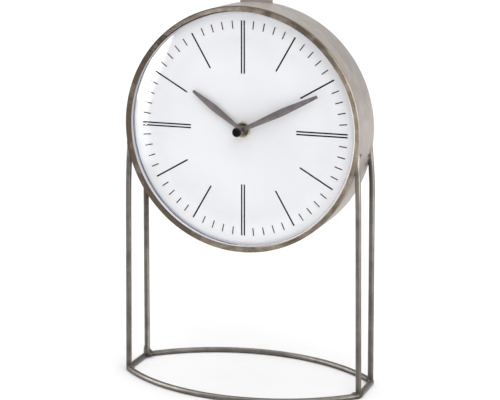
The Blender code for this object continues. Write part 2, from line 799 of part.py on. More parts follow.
def going_train():
    """Rotor, intermediate, seconds, third and centre wheel, each meshing with the next."""
    nylon = finish("white_nylon", (0.78, 0.78, 0.74), 0.5)
    magnet_rear = MAGNET_FRONT + MAGNET_LENGTH
    rotor = disc(
        "rotor",
        MAGNET_RADIUS,
        MAGNET_FRONT,
        magnet_rear,
        SMALL_STEPS,
        finish("rotor_magnet", (0.10, 0.10, 0.11), 0.5, 0.6),
        x=ROTOR_PLACE[0],
        z=ROTOR_PLACE[1],
    )
    add_pinion(rotor, TRAIN_PINION_TEETH, ROTOR_MODULE, 0.0, INTERMEDIATE_LAYER, ROTOR_PLACE)
    add_arbor(rotor, PIVOT_FRONT, PIVOT_REAR, ROTOR_PLACE)

    phase = meshed_phase(ROTOR_ANGLE + math.pi, TRAIN_PINION_TEETH, 0.0, INTERMEDIATE_TEETH)
    intermediate = pinion_wheel(
        "intermediate_wheel",
        INTERMEDIATE_TEETH,
        ROTOR_MODULE,
        phase,
        INTERMEDIATE_LAYER,
        SECONDS_MODULE,
        INTERMEDIATE_PLACE,
        nylon,
    )
    add_arbor(intermediate, PIVOT_FRONT, PIVOT_REAR, INTERMEDIATE_PLACE)

    phase = meshed_phase(INTERMEDIATE_ANGLE + math.pi, TRAIN_PINION_TEETH, 0.0, SECONDS_TEETH)
    seconds = pinion_wheel(
        "seconds_wheel",
        SECONDS_TEETH,
        SECONDS_MODULE,
        phase,
        SECONDS_LAYER,
        THIRD_MODULE,
        (0.0, 0.0),
        nylon,
    )
    add_arbor(seconds, layer(THIRD_LAYER) - RUNNING_GAP / 2, PIVOT_REAR)

    phase = meshed_phase(THIRD_WHEEL_ANGLE, TRAIN_PINION_TEETH, 0.0, THIRD_TEETH)
    third = pinion_wheel(
        "third_wheel", THIRD_TEETH, THIRD_MODULE, phase, THIRD_LAYER, CENTRE_MODULE, THIRD_PLACE, nylon
    )
    add_arbor(third, PIVOT_FRONT, PIVOT_REAR, THIRD_PLACE)

    phase = meshed_phase(THIRD_WHEEL_ANGLE + math.pi, TRAIN_PINION_TEETH, 0.0, CENTRE_TEETH)
    bore = MINUTE_ARBOR_RADIUS / 2 + RUNNING_GAP
    toothed_disc("centre_wheel", CENTRE_TEETH, CENTRE_MODULE, phase, CENTRE_LAYER, nylon, bore=bore)


def motion_work():
    """Minute arbor with its cannon pinion, minute wheel on the setting shaft, and hour wheel."""
    nylon = finish("white_nylon", (0.78, 0.78, 0.74), 0.5)
    cannon = toothed_disc("minute_arbor", CANNON_TEETH, MOTION_MODULE, 0.0, MOTION_LAYER, brass())
    arbor_front = COLLAR_FRONT + SEAT_GAP
    shoulder = layer(MOTION_LAYER) + WHEEL_THICKNESS / 2
    add_arbor(cannon, arbor_front, shoulder, radius=MINUTE_ARBOR_RADIUS)
    seat = disc(
        "centre_wheel_seat",
        MINUTE_ARBOR_RADIUS / 2,
        shoulder - WHEEL_THICKNESS / 4,
        layer(THIRD_LAYER) - RUNNING_GAP,
        SMALL_STEPS,
        None,
    )
    combine(cannon, seat, "UNION")

    phase = meshed_phase(MINUTE_WHEEL_ANGLE, CANNON_TEETH, 0.0, MINUTE_WHEEL_TEETH)
    minute = toothed_disc(
        "minute_wheel", MINUTE_WHEEL_TEETH, MOTION_MODULE, phase, MOTION_LAYER, nylon, SETTING_PLACE
    )
    add_pinion(minute, MINUTE_PINION_TEETH, MOTION_MODULE, 0.0, HOUR_LAYER, SETTING_PLACE)
    shaft_rear = MOVEMENT_REAR + KNOB_BORE_DEPTH
    add_arbor(minute, PIVOT_FRONT, shaft_rear, SETTING_PLACE, SETTING_SHAFT_RADIUS)

    phase = meshed_phase(MINUTE_WHEEL_ANGLE + math.pi, MINUTE_PINION_TEETH, 0.0, HOUR_WHEEL_TEETH)
    hour = toothed_disc(
        "hour_wheel", HOUR_WHEEL_TEETH, MOTION_MODULE, phase, HOUR_LAYER, nylon, bore=HOUR_TUBE_BORE
    )
    tube_front = HOUR_HAND_DEPTH - COLLET_LENGTH / 2 - SEAT_GAP
    tube_rear = layer(HOUR_LAYER) + WHEEL_THICKNESS / 2
    tube = disc(
        "hour_tube", HOUR_TUBE_RADIUS, tube_front, tube_rear, SMALL_STEPS, None, bore=HOUR_TUBE_BORE
    )
    combine(hour, tube, "UNION")


def time_set_knob():
    front = MOVEMENT_REAR + RUNNING_GAP
    rear = front + KNOB_THICKNESS
    inner = KNOB_RADIUS - KNOB_FLUTE_DEPTH
    outline = []
    for i in range(2 * KNOB_FLUTES):
        radius = KNOB_RADIUS if i % 2 else inner
        for part in (-1, 1):
            angle = math.pi / KNOB_FLUTES * (i + part / 4)
            outline.append(polar(radius, angle))
    knob = flat(
        "time_set_knob", [outline], front, rear, black_plastic(), x=SETTING_PLACE[0], z=SETTING_PLACE[1]
    )
    bore = disc(
        "knob_bore",
        SETTING_SHAFT_RADIUS + SEAT_GAP,
        front - CUT_OVERRUN,
        front + KNOB_BORE_DEPTH,
        SMALL_STEPS,
        None,
        x=SETTING_PLACE[0],
        z=SETTING_PLACE[1],
    )
    return combine(knob, bore, "DIFFERENCE")


def rounded_box(name, low, high, radius, material):
    """A box whose four edges along the case's axis are rounded."""
    box = block(name, low, high, material)
    shape = bmesh.new()
    shape.from_mesh(box.data)
    along = [e for e in shape.edges if abs((e.verts[0].co - e.verts[1].co).normalized().y) > 0.9]
    bmesh.ops.bevel(shape, geom=along, offset=radius, segments=3, affect="EDGES", profile=0.5)
    shape.to_mesh(box.data)
    shape.free()
    return box


def movement_case():
    """The front half of the movement's plastic case: a box open at the back, with the battery's bay."""
    half = MOVEMENT_HALF
    case = rounded_box(
        "movement_case",
        (-half, MOVEMENT_FRONT, MOVEMENT_BOTTOM),
        (half, MOVEMENT_SIDE_REAR, half),
        MOVEMENT_CORNER,
        black_plastic(),
    )
    beyond = MOVEMENT_REAR + CUT_OVERRUN
    works = block(
        "works_space", (-INNER_HALF, MOVEMENT_FLOOR, WORKS_BOTTOM), (INNER_HALF, beyond, INNER_HALF), None
    )
    bay = block(
        "battery_space", (-INNER_HALF, MOVEMENT_FLOOR, BAY_BOTTOM), (INNER_HALF, beyond, BAY_TOP), None
    )
    hole = disc(
        "bush_hole",
        BUSH_HOLE_RADIUS,
        MOVEMENT_FRONT - CUT_OVERRUN,
        MOVEMENT_FLOOR + MOVEMENT_WALL,
        MIDDLE_STEPS,
        None,
    )
    for cutter in (works, bay, hole):
        combine(case, cutter, "DIFFERENCE")
    return case


def movement_cover():
    """The back of the movement's case, over the wheels but not over the battery."""
    half = MOVEMENT_HALF
    cover = rounded_box(
        "movement_cover",
        (-half, COVER_PLATE_FRONT, BAY_TOP),
        (half, MOVEMENT_REAR, half),
        MOVEMENT_CORNER,
        black_plastic(),
    )
    hole = disc(
        "shaft_hole",
        SETTING_SHAFT_RADIUS + RUNNING_GAP,
        COVER_PLATE_FRONT - CUT_OVERRUN,
        MOVEMENT_REAR + CUT_OVERRUN,
        SMALL_STEPS,
        None,
        x=SETTING_PLACE[0],
        z=SETTING_PLACE[1],
    )
    return combine(cover, hole, "DIFFERENCE")


def lying(obj, x, depth, z):
    """Lays a turned shape along X, its front end towards the right."""
    obj.rotation_euler = (0.0, math.pi / 2, 0.0)
    obj.location = (x, FACE_Y + depth, CENTRE_HEIGHT + z)
    return obj


def battery():
    """An AA cell on its side; its tip is on the right."""
    tip_base = BATTERY_LENGTH / 2 - BATTERY_TIP_LENGTH
    profile = [
        (0.0, -BATTERY_LENGTH / 2),
        (BATTERY_TIP_RADIUS, -BATTERY_LENGTH / 2),
        (BATTERY_TIP_RADIUS, -tip_base),
        (BATTERY_RADIUS - BATTERY_ROUNDING, -tip_base),
        (BATTERY_RADIUS, BATTERY_ROUNDING - tip_base),
        (BATTERY_RADIUS, BATTERY_LENGTH / 2 - BATTERY_ROUNDING),
        (BATTERY_RADIUS - BATTERY_ROUNDING, BATTERY_LENGTH / 2),
        (0.0, BATTERY_LENGTH / 2),
    ]
    wrap = finish("battery_wrap", (0.55, 0.45, 0.12), 0.35, 0.4)
    cell = turned("battery", profile, MIDDLE_STEPS, wrap)
    return lying(cell, 0.0, BATTERY_DEPTH, BATTERY_Z)


def battery_contacts():
    """Bent strips between the battery's ends and the ends of its bay."""
    spring = finish("contact_strip", (0.72, 0.70, 0.66), 0.3, 1.0)
    for name, side in (("contact_positive", 1), ("contact_negative", -1)):
        near = BATTERY_LENGTH / 2 + SEAT_GAP
        far = INNER_HALF - SEAT_GAP
        front = BATTERY_DEPTH - CONTACT_WIDTH / 2
        rear = BATTERY_DEPTH + CONTACT_WIDTH / 2
        half = CONTACT_HEIGHT / 2
        thin = CONTACT_THICKNESS / 2
        ends = sorted((side * near, side * (near + CONTACT_THICKNESS)))
        strip = block(name, (ends[0], front, BATTERY_Z - half), (ends[1], rear, BATTERY_Z + half), spring)
        ends = sorted((side * (near + thin), side * far))
        foot = block(
            name + "_foot",
            (ends[0], front - thin, BATTERY_Z - half + thin),
            (ends[1], front + thin, BATTERY_Z + half - thin),
            None,
        )
        combine(strip, foot, "UNION")


def electrics():
    """Stator, coil, circuit board and quartz crystal."""
    soft_iron = finish("stator_iron", (0.60, 0.60, 0.60), 0.35, 1.0)
    front = MOTOR_DEPTH - STATOR_THICKNESS / 2
    rear = MOTOR_DEPTH + STATOR_THICKNESS / 2
    x, z = ROTOR_PLACE
    inner = MAGNET_RADIUS + STATOR_GAP
    outer = inner + STATOR_RING_WALL
    span = INNER_HALF - STATOR_SIDE_SPACE - x
    left, right = x - span, x + span
    coil_z = INNER_HALF - COIL_TOP_SPACE - BOBBIN_RADIUS
    top = coil_z + STATOR_WIDTH / 2
    bar_low, bar_high = z - STATOR_WIDTH / 2, z + STATOR_WIDTH / 2
    frame = [
        (left, bar_low),
        (right, bar_low),
        (right, top),
        (right - STATOR_WIDTH, top),
        (right - STATOR_WIDTH, bar_high),
        (left + STATOR_WIDTH, bar_high),
        (left + STATOR_WIDTH, top),
        (left, top),
    ]
    stator = flat("stator", [frame], front, rear, soft_iron)
    ring = disc(
        "stator_ring",
        outer,
        front - STATOR_THICKNESS / 4,
        rear + STATOR_THICKNESS / 4,
        MIDDLE_STEPS,
        None,
        x=x,
        z=z,
    )
    combine(stator, ring, "UNION")
    hole = disc(
        "stator_hole", inner, front - CUT_OVERRUN, rear + CUT_OVERRUN, MIDDLE_STEPS, None, x=x, z=z
    )
    combine(stator, hole, "DIFFERENCE")

    half = span - STATOR_WIDTH - SEAT_GAP
    bobbin_profile = [
        (0.0, -half),
        (BOBBIN_RADIUS, -half),
        (BOBBIN_RADIUS, BOBBIN_FLANGE - half),
        (COIL_CORE_RADIUS, BOBBIN_FLANGE - half),
        (COIL_CORE_RADIUS, half - BOBBIN_FLANGE),
        (BOBBIN_RADIUS, half - BOBBIN_FLANGE),
        (BOBBIN_RADIUS, half),
        (0.0, half),
    ]
    bobbin = turned("coil_bobbin", bobbin_profile, SMALL_STEPS, white_plastic())
    lying(bobbin, x, MOTOR_DEPTH, coil_z)
    coil_half = half - BOBBIN_FLANGE - SEAT_GAP
    inside = COIL_CORE_RADIUS + SEAT_GAP
    winding_profile = [
        (inside, -coil_half),
        (COIL_RADIUS, -coil_half),
        (COIL_RADIUS, coil_half),
        (inside, coil_half),
    ]
    copper = finish("copper_winding", (0.60, 0.28, 0.14), 0.35, 1.0)
    winding = turned("coil_winding", winding_profile, SMALL_STEPS, copper)
    lying(winding, x, MOTOR_DEPTH, coil_z)

    board_rear = COVER_PLATE_FRONT - SEAT_GAP
    board_front = board_rear - BOARD_THICKNESS
    left = BOARD_MARGIN - INNER_HALF
    high = INNER_HALF - BOARD_MARGIN
    low = high - BOARD_HEIGHT
    board_x, board_z = left + BOARD_WIDTH / 2, high - BOARD_HEIGHT / 2
    green = finish("board_green", (0.03, 0.16, 0.07), 0.45)
    board = block(
        "circuit_board", (left, board_front, low), (left + BOARD_WIDTH, board_rear, high), green
    )
    chip_half = CHIP_SIZE / 2
    chip_x = board_x + BOARD_WIDTH / 4
    chip = block(
        "chip",
        (chip_x - chip_half, board_front - CHIP_THICKNESS, board_z - chip_half),
        (chip_x + chip_half, board_rear - BOARD_THICKNESS / 2, board_z + chip_half),
        None,
    )
    combine(board, chip, "UNION")

    crystal_profile = [
        (0.0, -CRYSTAL_LENGTH / 2),
        (CRYSTAL_RADIUS, -CRYSTAL_LENGTH / 2),
        (CRYSTAL_RADIUS, CRYSTAL_LENGTH / 2),
        (0.0, CRYSTAL_LENGTH / 2),
    ]
    crystal = turned("quartz_crystal", crystal_profile, SMALL_STEPS, zinc_steel())
    crystal_depth = board_front - SEAT_GAP - CRYSTAL_RADIUS
    lying(crystal, board_x - BOARD_WIDTH / 4, crystal_depth, board_z + CRYSTAL_OFFSET)


# The hands


def hand_outline(length, angle):
    """A leaf-shaped hand with a round eye, pointing at a clock angle."""
    neck = HAND_NECK_WIDTH / 2
    start = math.sqrt(HAND_EYE_RADIUS**2 - neck**2)
    widest = start + (length - start) * HAND_WIDEST_SHARE
    side = []
    for i in range(LEAF_STEPS):
        share = i / LEAF_STEPS
        width = neck + (HAND_LEAF_WIDTH / 2 - neck) * math.sin(math.pi / 2 * share)
        side.append((width, start + (widest - start) * share))
    for i in range(LEAF_STEPS + 1):
        share = i / LEAF_STEPS
        tip = HAND_TIP_WIDTH / 2
        width = tip + (HAND_LEAF_WIDTH / 2 - tip) * math.cos(math.pi / 2 * share)
        side.append((width, widest + (length - widest) * share))
    eye_start = math.asin(neck / HAND_EYE_RADIUS)
    eye = []
    for i in range(1, MIDDLE_STEPS):
        around = eye_start + (2 * math.pi - 2 * eye_start) * i / MIDDLE_STEPS
        eye.append((HAND_EYE_RADIUS * math.sin(around), HAND_EYE_RADIUS * math.cos(around)))
    points = eye[::-1] + side + [(-across, along) for across, along in side[::-1]]
    turned_points = []
    for across, along in points:
        x = across * math.cos(angle) + along * math.sin(angle)
        z = along * math.cos(angle) - across * math.sin(angle)
        turned_points.append((x, z))
    return turned_points


def hand(name, length, angle, depth, bore):
    """A flat hand on a short collet that grips its tube or arbor."""
    pewter = finish("pewter_hands", (0.25, 0.235, 0.225), 0.45, 0.9)
    outlines = [hand_outline(length, angle), circle(bore, SMALL_STEPS)]
    half = HAND_THICKNESS / 2
    blade = flat(name, outlines, depth - half, depth + half, pewter)
    collet = disc(
        name + "_collet",
        COLLET_RADIUS,
        depth - COLLET_LENGTH / 2,
        depth + COLLET_LENGTH / 2,
        SMALL_STEPS,
        None,
        bore=bore,
    )
    return combine(blade, collet, "UNION")


def minute_collar():
    pewter = finish("pewter_hands", (0.25, 0.235, 0.225), 0.45, 0.9)
    bore = MINUTE_ARBOR_RADIUS + SEAT_GAP
    return disc("minute_collar", COLLAR_RADIUS, COLLAR_FRONT, COLLAR_REAR, MIDDLE_STEPS, pewter, bore=bore)


def arbor_cap():
    profile = [
        (0.0, CAP_FRONT),
        (CAP_RADIUS - CAP_ROUNDING, CAP_FRONT),
        (CAP_RADIUS, CAP_FRONT + CAP_ROUNDING),
        (CAP_RADIUS, CAP_REAR),
        (0.0, CAP_REAR),
    ]
    return turned("arbor_cap", profile, MIDDLE_STEPS, black_plastic())


def build_clock():
    start_scene()
    drum_shell()
    bezel_ring()
    inner_ring()
    dome_glass()
    dial_plate()
    dial_backing()
    rear_cover()
    cover_posts()
    cover_screws()
    hanger_tab()
    base_ring()
    legs()
    threaded_bush()
    rubber_washer()
    brass_nut()
    movement_case()
    movement_cover()
    going_train()
    motion_work()
    time_set_knob()
    battery()
    battery_contacts()
    electrics()
    hand("hour_hand", HOUR_HAND_LENGTH, HOUR_ANGLE, HOUR_HAND_DEPTH, HOUR_TUBE_RADIUS + SEAT_GAP)
    hand("minute_hand", MINUTE_HAND_LENGTH, MINUTE_ANGLE, MINUTE_HAND_DEPTH, MINUTE_ARBOR_RADIUS + SEAT_GAP)
    minute_collar()
    arbor_cap()


build_clock()
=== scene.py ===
"""The looks of a table clock: a white dial under domed glass, in a thin round case held by four rods.

Metres, +Z up, and the dial faces -Y. A depth is measured from the front of the bezel towards the
back, and a clock angle runs clockwise from twelve. The round pieces are shaped lying down, with
their front up, and are then stood up in the case.
"""

import json
from math import asin, atan2, cos, hypot, pi, radians, sin, sqrt

import bpy
from mathutils import Matrix, Vector

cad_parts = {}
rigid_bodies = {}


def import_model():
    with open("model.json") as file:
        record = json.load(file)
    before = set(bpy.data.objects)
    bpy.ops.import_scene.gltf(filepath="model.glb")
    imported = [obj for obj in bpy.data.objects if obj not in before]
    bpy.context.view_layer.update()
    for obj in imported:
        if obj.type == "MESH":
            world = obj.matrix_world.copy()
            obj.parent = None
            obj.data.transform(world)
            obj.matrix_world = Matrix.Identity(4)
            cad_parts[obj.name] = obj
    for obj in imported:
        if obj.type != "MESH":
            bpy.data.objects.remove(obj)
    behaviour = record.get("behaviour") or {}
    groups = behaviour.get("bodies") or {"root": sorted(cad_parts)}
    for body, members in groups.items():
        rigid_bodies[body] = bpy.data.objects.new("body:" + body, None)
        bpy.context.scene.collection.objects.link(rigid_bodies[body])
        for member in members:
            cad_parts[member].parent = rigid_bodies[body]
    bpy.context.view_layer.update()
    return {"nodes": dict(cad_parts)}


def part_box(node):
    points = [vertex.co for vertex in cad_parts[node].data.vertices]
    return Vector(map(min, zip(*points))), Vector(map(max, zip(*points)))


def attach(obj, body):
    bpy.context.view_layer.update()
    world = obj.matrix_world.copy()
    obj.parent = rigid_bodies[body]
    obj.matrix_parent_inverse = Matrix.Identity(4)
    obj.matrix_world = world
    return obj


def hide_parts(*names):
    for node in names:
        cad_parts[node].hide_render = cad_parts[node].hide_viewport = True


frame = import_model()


def depths(node_name):
    """How far a node's front and rear are behind the face of the bezel."""
    low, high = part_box(node_name)
    return low.y - FACE_Y, high.y - FACE_Y


def reach(node_name, axis="x"):
    """Half of a node's size along an axis."""
    low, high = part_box(node_name)
    return (getattr(high, axis) - getattr(low, axis)) / 2


def middle(node_name):
    low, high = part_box(node_name)
    return (low + high) / 2


def on_dial(node_name):
    """A node's x and its height over the dial's centre."""
    return middle(node_name).x, middle(node_name).z - AXIS_HEIGHT


# Places and sizes that the frame gives
BEZEL_LOW, BEZEL_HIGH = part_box("bezel_ring")
AXIS_HEIGHT = (BEZEL_HIGH.z + BEZEL_LOW.z) / 2
FACE_Y = BEZEL_LOW.y
CASE_RADIUS = reach("bezel_ring")
ROD_RADIUS = reach("leg_front_left", "y")

# Case
BEZEL_WIDTH = 0.0048
BEZEL_INNER = CASE_RADIUS - BEZEL_WIDTH
BEZEL_ROUNDING = 0.0012
BEZEL_INNER_EDGE = 0.0004
FINE_EDGE = 0.0002
JOINT_EDGE = 0.0004
SHELL_WALL = 0.0009
SHELL_HEM = 0.0009
INNER_RING_INSET = 0.0002
INNER_RING_WALL = 0.0016
INNER_RING_EDGE = 0.0003
GLASS_WALL = 0.002
GLASS_RIM_EDGE = 0.0003
GLASS_SHOULDER = 0.0026
GLASS_SKIRT_WALL = 0.0016
GLASS_SEAT_DEPTH = 0.0012
GLASS_SEAT_INNER_PRESS = 0.00005
GLASS_SEAT_OUTER_PRESS = 0.00008
GLASS_SEAT_EDGE = 0.00004
DIAL_HOLE = 0.0043
DIAL_EDGE = 0.0001
DRUM_CLEARANCE = 0.00005
DRUM_SPACE = (-0.01, 0.06)

# Printed marks of the dial
INK_HEIGHT = 0.00003
MARK_OUTER_RADIUS = 0.0890
PAIR_SPACING = 0.00235
PAIR = {"left": -PAIR_SPACING / 2, "right": PAIR_SPACING / 2}

# Inner radius, width, lines side by side, places around the dial, and every how many one is left out
MARKS = {
    "minute_marks": (0.0824, 0.00092, {"middle": 0.0}, 60, 5),
    "hour_marks": (0.0566, 0.0013, {"middle": 0.0}, 12, 3),
    "quarter_marks": (0.0458, 0.00122, PAIR, 4, 0),
}

# Hands
HAND_LENGTHS = {"hour_hand": 0.0520, "minute_hand": 0.0725}
HAND_BORES = {"hour_hand": 0.0025, "minute_hand": 0.0016}
HAND_ANGLES = {"hour_hand": radians(305.4), "minute_hand": radians(64.3)}
HAND_THICKNESS = 0.0005
HAND_EYE_RADIUS = 0.0042
HAND_NECK_WIDTH = 0.0032
HAND_LEAF_WIDTH = 0.006
HAND_TIP_WIDTH = 0.0024
HAND_WIDEST_SHARE = 0.53
HAND_ROOT_SHARE = 0.9
HAND_ROOT_LENGTH = 0.0004
HAND_ROUNDNESS = 0.3
HAND_EDGE = 0.00022
COLLET_RADIUS = 0.0036
COLLAR_BORE = 0.0019
COLLAR_EDGE = 0.0003
CAP_ROUNDING = 0.0003

# Nut and bush
NUT_HALF_FLATS = 0.006
NUT_CHAMFER = 0.0005
NUT_CORNER_ROOM = 0.0002
NUT_BORE = 0.0043
NUT_BORE_CHAMFER = (0.0003, 0.0004)
NUT_EDGE = 0.0001
BUSH_BORE = 0.0028
BUSH_RADIUS = 0.004
BUSH_CHAMFER = 0.0005
BUSH_FLANGE = (0.006, 0.0008)
THREAD_START = 0.0001
THREAD_END = 0.0095
THREAD_PITCH = 0.0005
THREAD_DEPTH = 0.00028

# Stand
LEG_LINE = 0.018875
FOOT_X = 0.10327
FRONT_KNEE = (0.10047, 0.170)
REAR_KNEE = (0.10112, 0.177)
REAR_FOOT_INSET = 0.0005
LEG_TOP_X = 0.0984
LEG_TOP_HEIGHT = 0.2060
KNEE_BLEND = 0.014
KNEE_STEPS = 8
BASE_CORNER_RADIUS = 0.006
BASE_ARC_HALF_ANGLE = radians(43.5)
BASE_HEIGHT = 0.002125
STRAIGHT_STEPS = 4
CORNER_STEPS = 10
BOW_STEPS = 72

# Weld beads of a leg: x, way out from the leg's line and height, then half sizes and unevenness
BEADS = (
    ((0.1004, 0.0, 0.2002), (0.0010, 0.0017, 0.0030), 0.0004),
    ((FOOT_X - 0.0001, -0.0022, 0.0034), (0.0021, 0.0032, 0.0019), 0.0005),
    ((FOOT_X - 0.0025, 0.0016, 0.0033), (0.0034, 0.0021, 0.0020), 0.0005),
)

# The rear left foot's flare from its top down: radius, height and run towards the middle
FLARE = (
    (0.0023, 0.0100, 0.0000),
    (0.0026, 0.0086, 0.0001),
    (0.0031, 0.0070, 0.0004),
    (0.0039, 0.0056, 0.0012),
    (0.0044, 0.0044, 0.0018),
    (0.0044, 0.0030, 0.0018),
    (0.0036, 0.0012, 0.0010),
)

# Dark patches near the welds, heat stains at the feet and dark spots on the drum beside the leg tops:
# place on the right, where a patch starts and ends to fade, flattening
FRONT_TOP_SPOT = ((0.1003, -0.0158, 0.2016), 0.0019, 0.0026, 0.4)
REAR_TOP_SPOT = ((0.0995, 0.0135, 0.1968), 0.0012, 0.0026, 0.45)
FRONT_FOOT_STAIN = ((FOOT_X, -LEG_LINE, BASE_HEIGHT), 0.0040, 0.0090, 1.0)
REAR_FOOT_STAIN = ((FOOT_X, LEG_LINE, BASE_HEIGHT), 0.0030, 0.0100, 1.0)
TOP_SPOT_COLOUR = (0.028, 0.021, 0.016)
FOOT_STAIN_COLOUR = (0.060, 0.050, 0.042)

# Back
TAB_HOLE_RADIUS = 0.004
TAB_EDGE = 0.0004
COVER_WALL = 0.0012
COVER_EDGE = 0.0002
COVER_BEND = 0.0006
WINDOW_RADIUS = 0.044
PRESSED_INNER = 0.058
PRESSED_OUTER = 0.086
PRESSED_STEP = 0.0007
SCREWS = 4
SCREW_RADIUS = 0.00125
SCREW_TIP_RADIUS = 0.0006
SCREW_TIP_LENGTH = 0.0008
SCREW_HEAD_RADIUS = 0.0028
SCREW_HEAD_HEIGHT = 0.0013
SCREW_SLOT_WIDTH = 0.0008
SCREW_SLOT_DEPTH = 0.0006
SCREW_PITCH = 0.0006
SCREW_HOLE_ROOM = 0.0003
HOUSING_WALL = 0.0012
HOUSING_CORNER = 0.002
HOUSING_EDGE = 0.00018
RIB_HALF_WIDTH = 0.0005
RIB_HEIGHT = 0.00025
RIBS_X = (-0.017, 0.0, 0.017)
LATCHES_Z = (0.0, 0.016)
LATCH_LENGTH = 0.005
LATCH_START = 0.0042
LATCH_END = 0.0012
LID_PANEL = ((0.003, 0.001), (0.0245, 0.0155))
LID_PANEL_CORNER = 0.0012
LID_PANEL_DEPTH = 0.00025
LID_EDGE = 0.00012
PIN_MARKS = ((-0.0245, 0.0245), (0.0245, 0.0245), (-0.0245, -0.0085), (0.0245, -0.0085), (0.0, 0.0205))
PIN_MARK_RADIUS = 0.0013
PIN_MARK_DEPTH = 0.00015
POLARITY_X = 0.0215
POLARITY_Z = -0.0052
POLARITY_LONG = 0.0013
POLARITY_SHORT = 0.00035
POLARITY_DEPTH = 0.0002
KNOB_FLUTES = 20
KNOB_FLUTE_DEPTH = 0.0004
KNOB_RING = (0.0068, 0.0075)
KNOB_RING_DEPTH = 0.0003
KNOB_BORE = 0.0009
CONTACT_THICKNESS = 0.0004
CONTACT_EDGE = 0.0001
OVERCUT = 0.001

# White cards beside the clock
CARD_X = -0.5
CARD_DEPTH = 0.4
SIDE_CARD_SIZE = 0.42

# Fineness
RING_STEPS = 192
DISC_STEPS = 64
ROD_STEPS = 28
DOME_STEPS = 22
ROUNDING_STEPS = 6
LEAF_STEPS = 10
SHARP = radians(32)
GLASS_SHARP = radians(8)
HOOP_SHARP = radians(50)


# Handling

def let_go():
    """Leaves edit mode and deselects everything."""
    if bpy.context.mode != "OBJECT":
        bpy.ops.object.mode_set(mode="OBJECT")
    bpy.ops.object.select_all(action="DESELECT")


def take(*objects):
    """Selects these objects alone; the last one is the active one."""
    let_go()
    for obj in objects:
        obj.select_set(True)
    bpy.context.view_layer.objects.active = objects[-1]


def edit(obj):
    """Opens an object in edit mode with all of it selected."""
    take(obj)
    bpy.ops.object.mode_set(mode="EDIT")
    bpy.ops.mesh.select_mode(type="VERT")
    bpy.ops.mesh.select_all(action="SELECT")


def pick(obj, kind, wanted):
    """Selects the vertices, edges or faces that pass a test, in edit mode."""
    bpy.ops.object.mode_set(mode="OBJECT")
    parts = {"VERT": obj.data.vertices, "EDGE": obj.data.edges, "FACE": obj.data.polygons}
    for every in parts.values():
        every.foreach_set("select", [False] * len(every))
    for part in parts[kind]:
        part.select = wanted(part)
    bpy.ops.object.mode_set(mode="EDIT")
    bpy.ops.mesh.select_mode(type=kind)


def draw_out(x, y, z):
    """Extrudes what is selected, in edit mode."""
    bpy.ops.mesh.extrude_region_move(TRANSFORM_OT_translate={"value": (x, y, z)})


def resize(x, y, centre):
    """Makes what is selected larger or smaller about a centre, in edit mode."""
    bpy.ops.transform.resize(value=(x, y, 1), center_override=centre)


def close_ends():
    """Closes the open ends of a shape with flat faces, in edit mode."""
    bpy.ops.mesh.select_all(action="DESELECT")
    bpy.ops.mesh.select_non_manifold()
    bpy.ops.mesh.fill_holes(sides=0)


def new_piece(name):
    """Names the primitive that was just added."""
    piece = bpy.context.object
    piece.name = name
    piece.data.name = name
    return piece


def put_in_mesh(piece):
    """Moves an object's place, turn and size into its mesh."""
    take(piece)
    bpy.ops.object.transform_apply(location=True, rotation=True, scale=True)
    return piece


def stretched(name, size):
    """Names the primitive that was just added and gives it a size along each axis."""
    piece = new_piece(name)
    piece.scale = size
    return put_in_mesh(piece)


def circle(name, steps, radius, place, turn=(0, 0, 0), fill="NOTHING"):
    """A circle that is open in edit mode, ready to be drawn out."""
    let_go()
    bpy.ops.mesh.primitive_circle_add(
        vertices=steps, radius=radius, location=place, rotation=turn, fill_type=fill
    )
    piece = put_in_mesh(new_piece(name))
    edit(piece)
    return piece


def tidy_mesh(piece, doubles=0.0000005):
    """Closes seams and turns every face outwards."""
    edit(piece)
    bpy.ops.mesh.remove_doubles(threshold=doubles)
    bpy.ops.mesh.normals_make_consistent(inside=False)
    let_go()
    return piece


def soften(piece, width, segments=2):
    """Rounds the sharp edges of a piece."""
    take(piece)
    bevel = piece.modifiers.new("rounded_edges", "BEVEL")
    bevel.width = width
    bevel.segments = segments
    bevel.limit_method = "ANGLE"
    bevel.angle_limit = SHARP
    bevel.use_clamp_overlap = True
    bpy.ops.object.modifier_apply(modifier=bevel.name)


def join_with(piece, other, operation):
    """Adds, cuts or keeps what is shared with another shape, which is used up."""
    take(piece)
    boolean = piece.modifiers.new("joined_shape", "BOOLEAN")
    boolean.operation = operation
    boolean.solver = "EXACT"
    boolean.object = other
    bpy.ops.object.modifier_apply(modifier=boolean.name)
    bpy.data.objects.remove(other, do_unlink=True)


def add(piece, other):
    join_with(piece, other, "UNION")


def cut(piece, other):
    join_with(piece, other, "DIFFERENCE")


def stand_up(piece, x=0.0, z=0.0):
    """Turns a piece that was shaped front up to face the front, at a place on the dial."""
    piece.rotation_euler = (pi / 2, 0.0, 0.0)
    piece.location = (x, FACE_Y, AXIS_HEIGHT + z)
    return put_in_mesh(piece)


def turned(name, profile, steps=RING_STEPS, edge=0.0):
    """A shape made as on a lathe from (radius, depth) pairs, front up.

    A profile that ends where it began is a ring; any other is closed by a flat disc at each end.
    """
    radius, depth = profile[0]
    piece = circle(name, steps, radius, (0, 0, -depth))
    for next_radius, next_depth in profile[1:]:
        draw_out(0, 0, depth - next_depth)
        share = next_radius / radius
        resize(share, share, (0, 0, -next_depth))
        radius, depth = next_radius, next_depth
    if profile[0] != profile[-1]:
        close_ends()
    tidy_mesh(piece)
    if edge:
        soften(piece, edge)
    return piece


def tube(name, outer, inner, front, rear, steps=RING_STEPS, edge=FINE_EDGE):
    """A plain ring with softened edges."""
    profile = [(inner, front), (outer, front), (outer, rear), (inner, rear), (inner, front)]
    return turned(name, profile, steps, edge)


def copied(piece, name):
    """A copy with its own mesh."""
    twin = piece.copy()
    twin.data = piece.data.copy()
    twin.name = name
    twin.data.name = name
    bpy.context.scene.collection.objects.link(twin)
    return twin


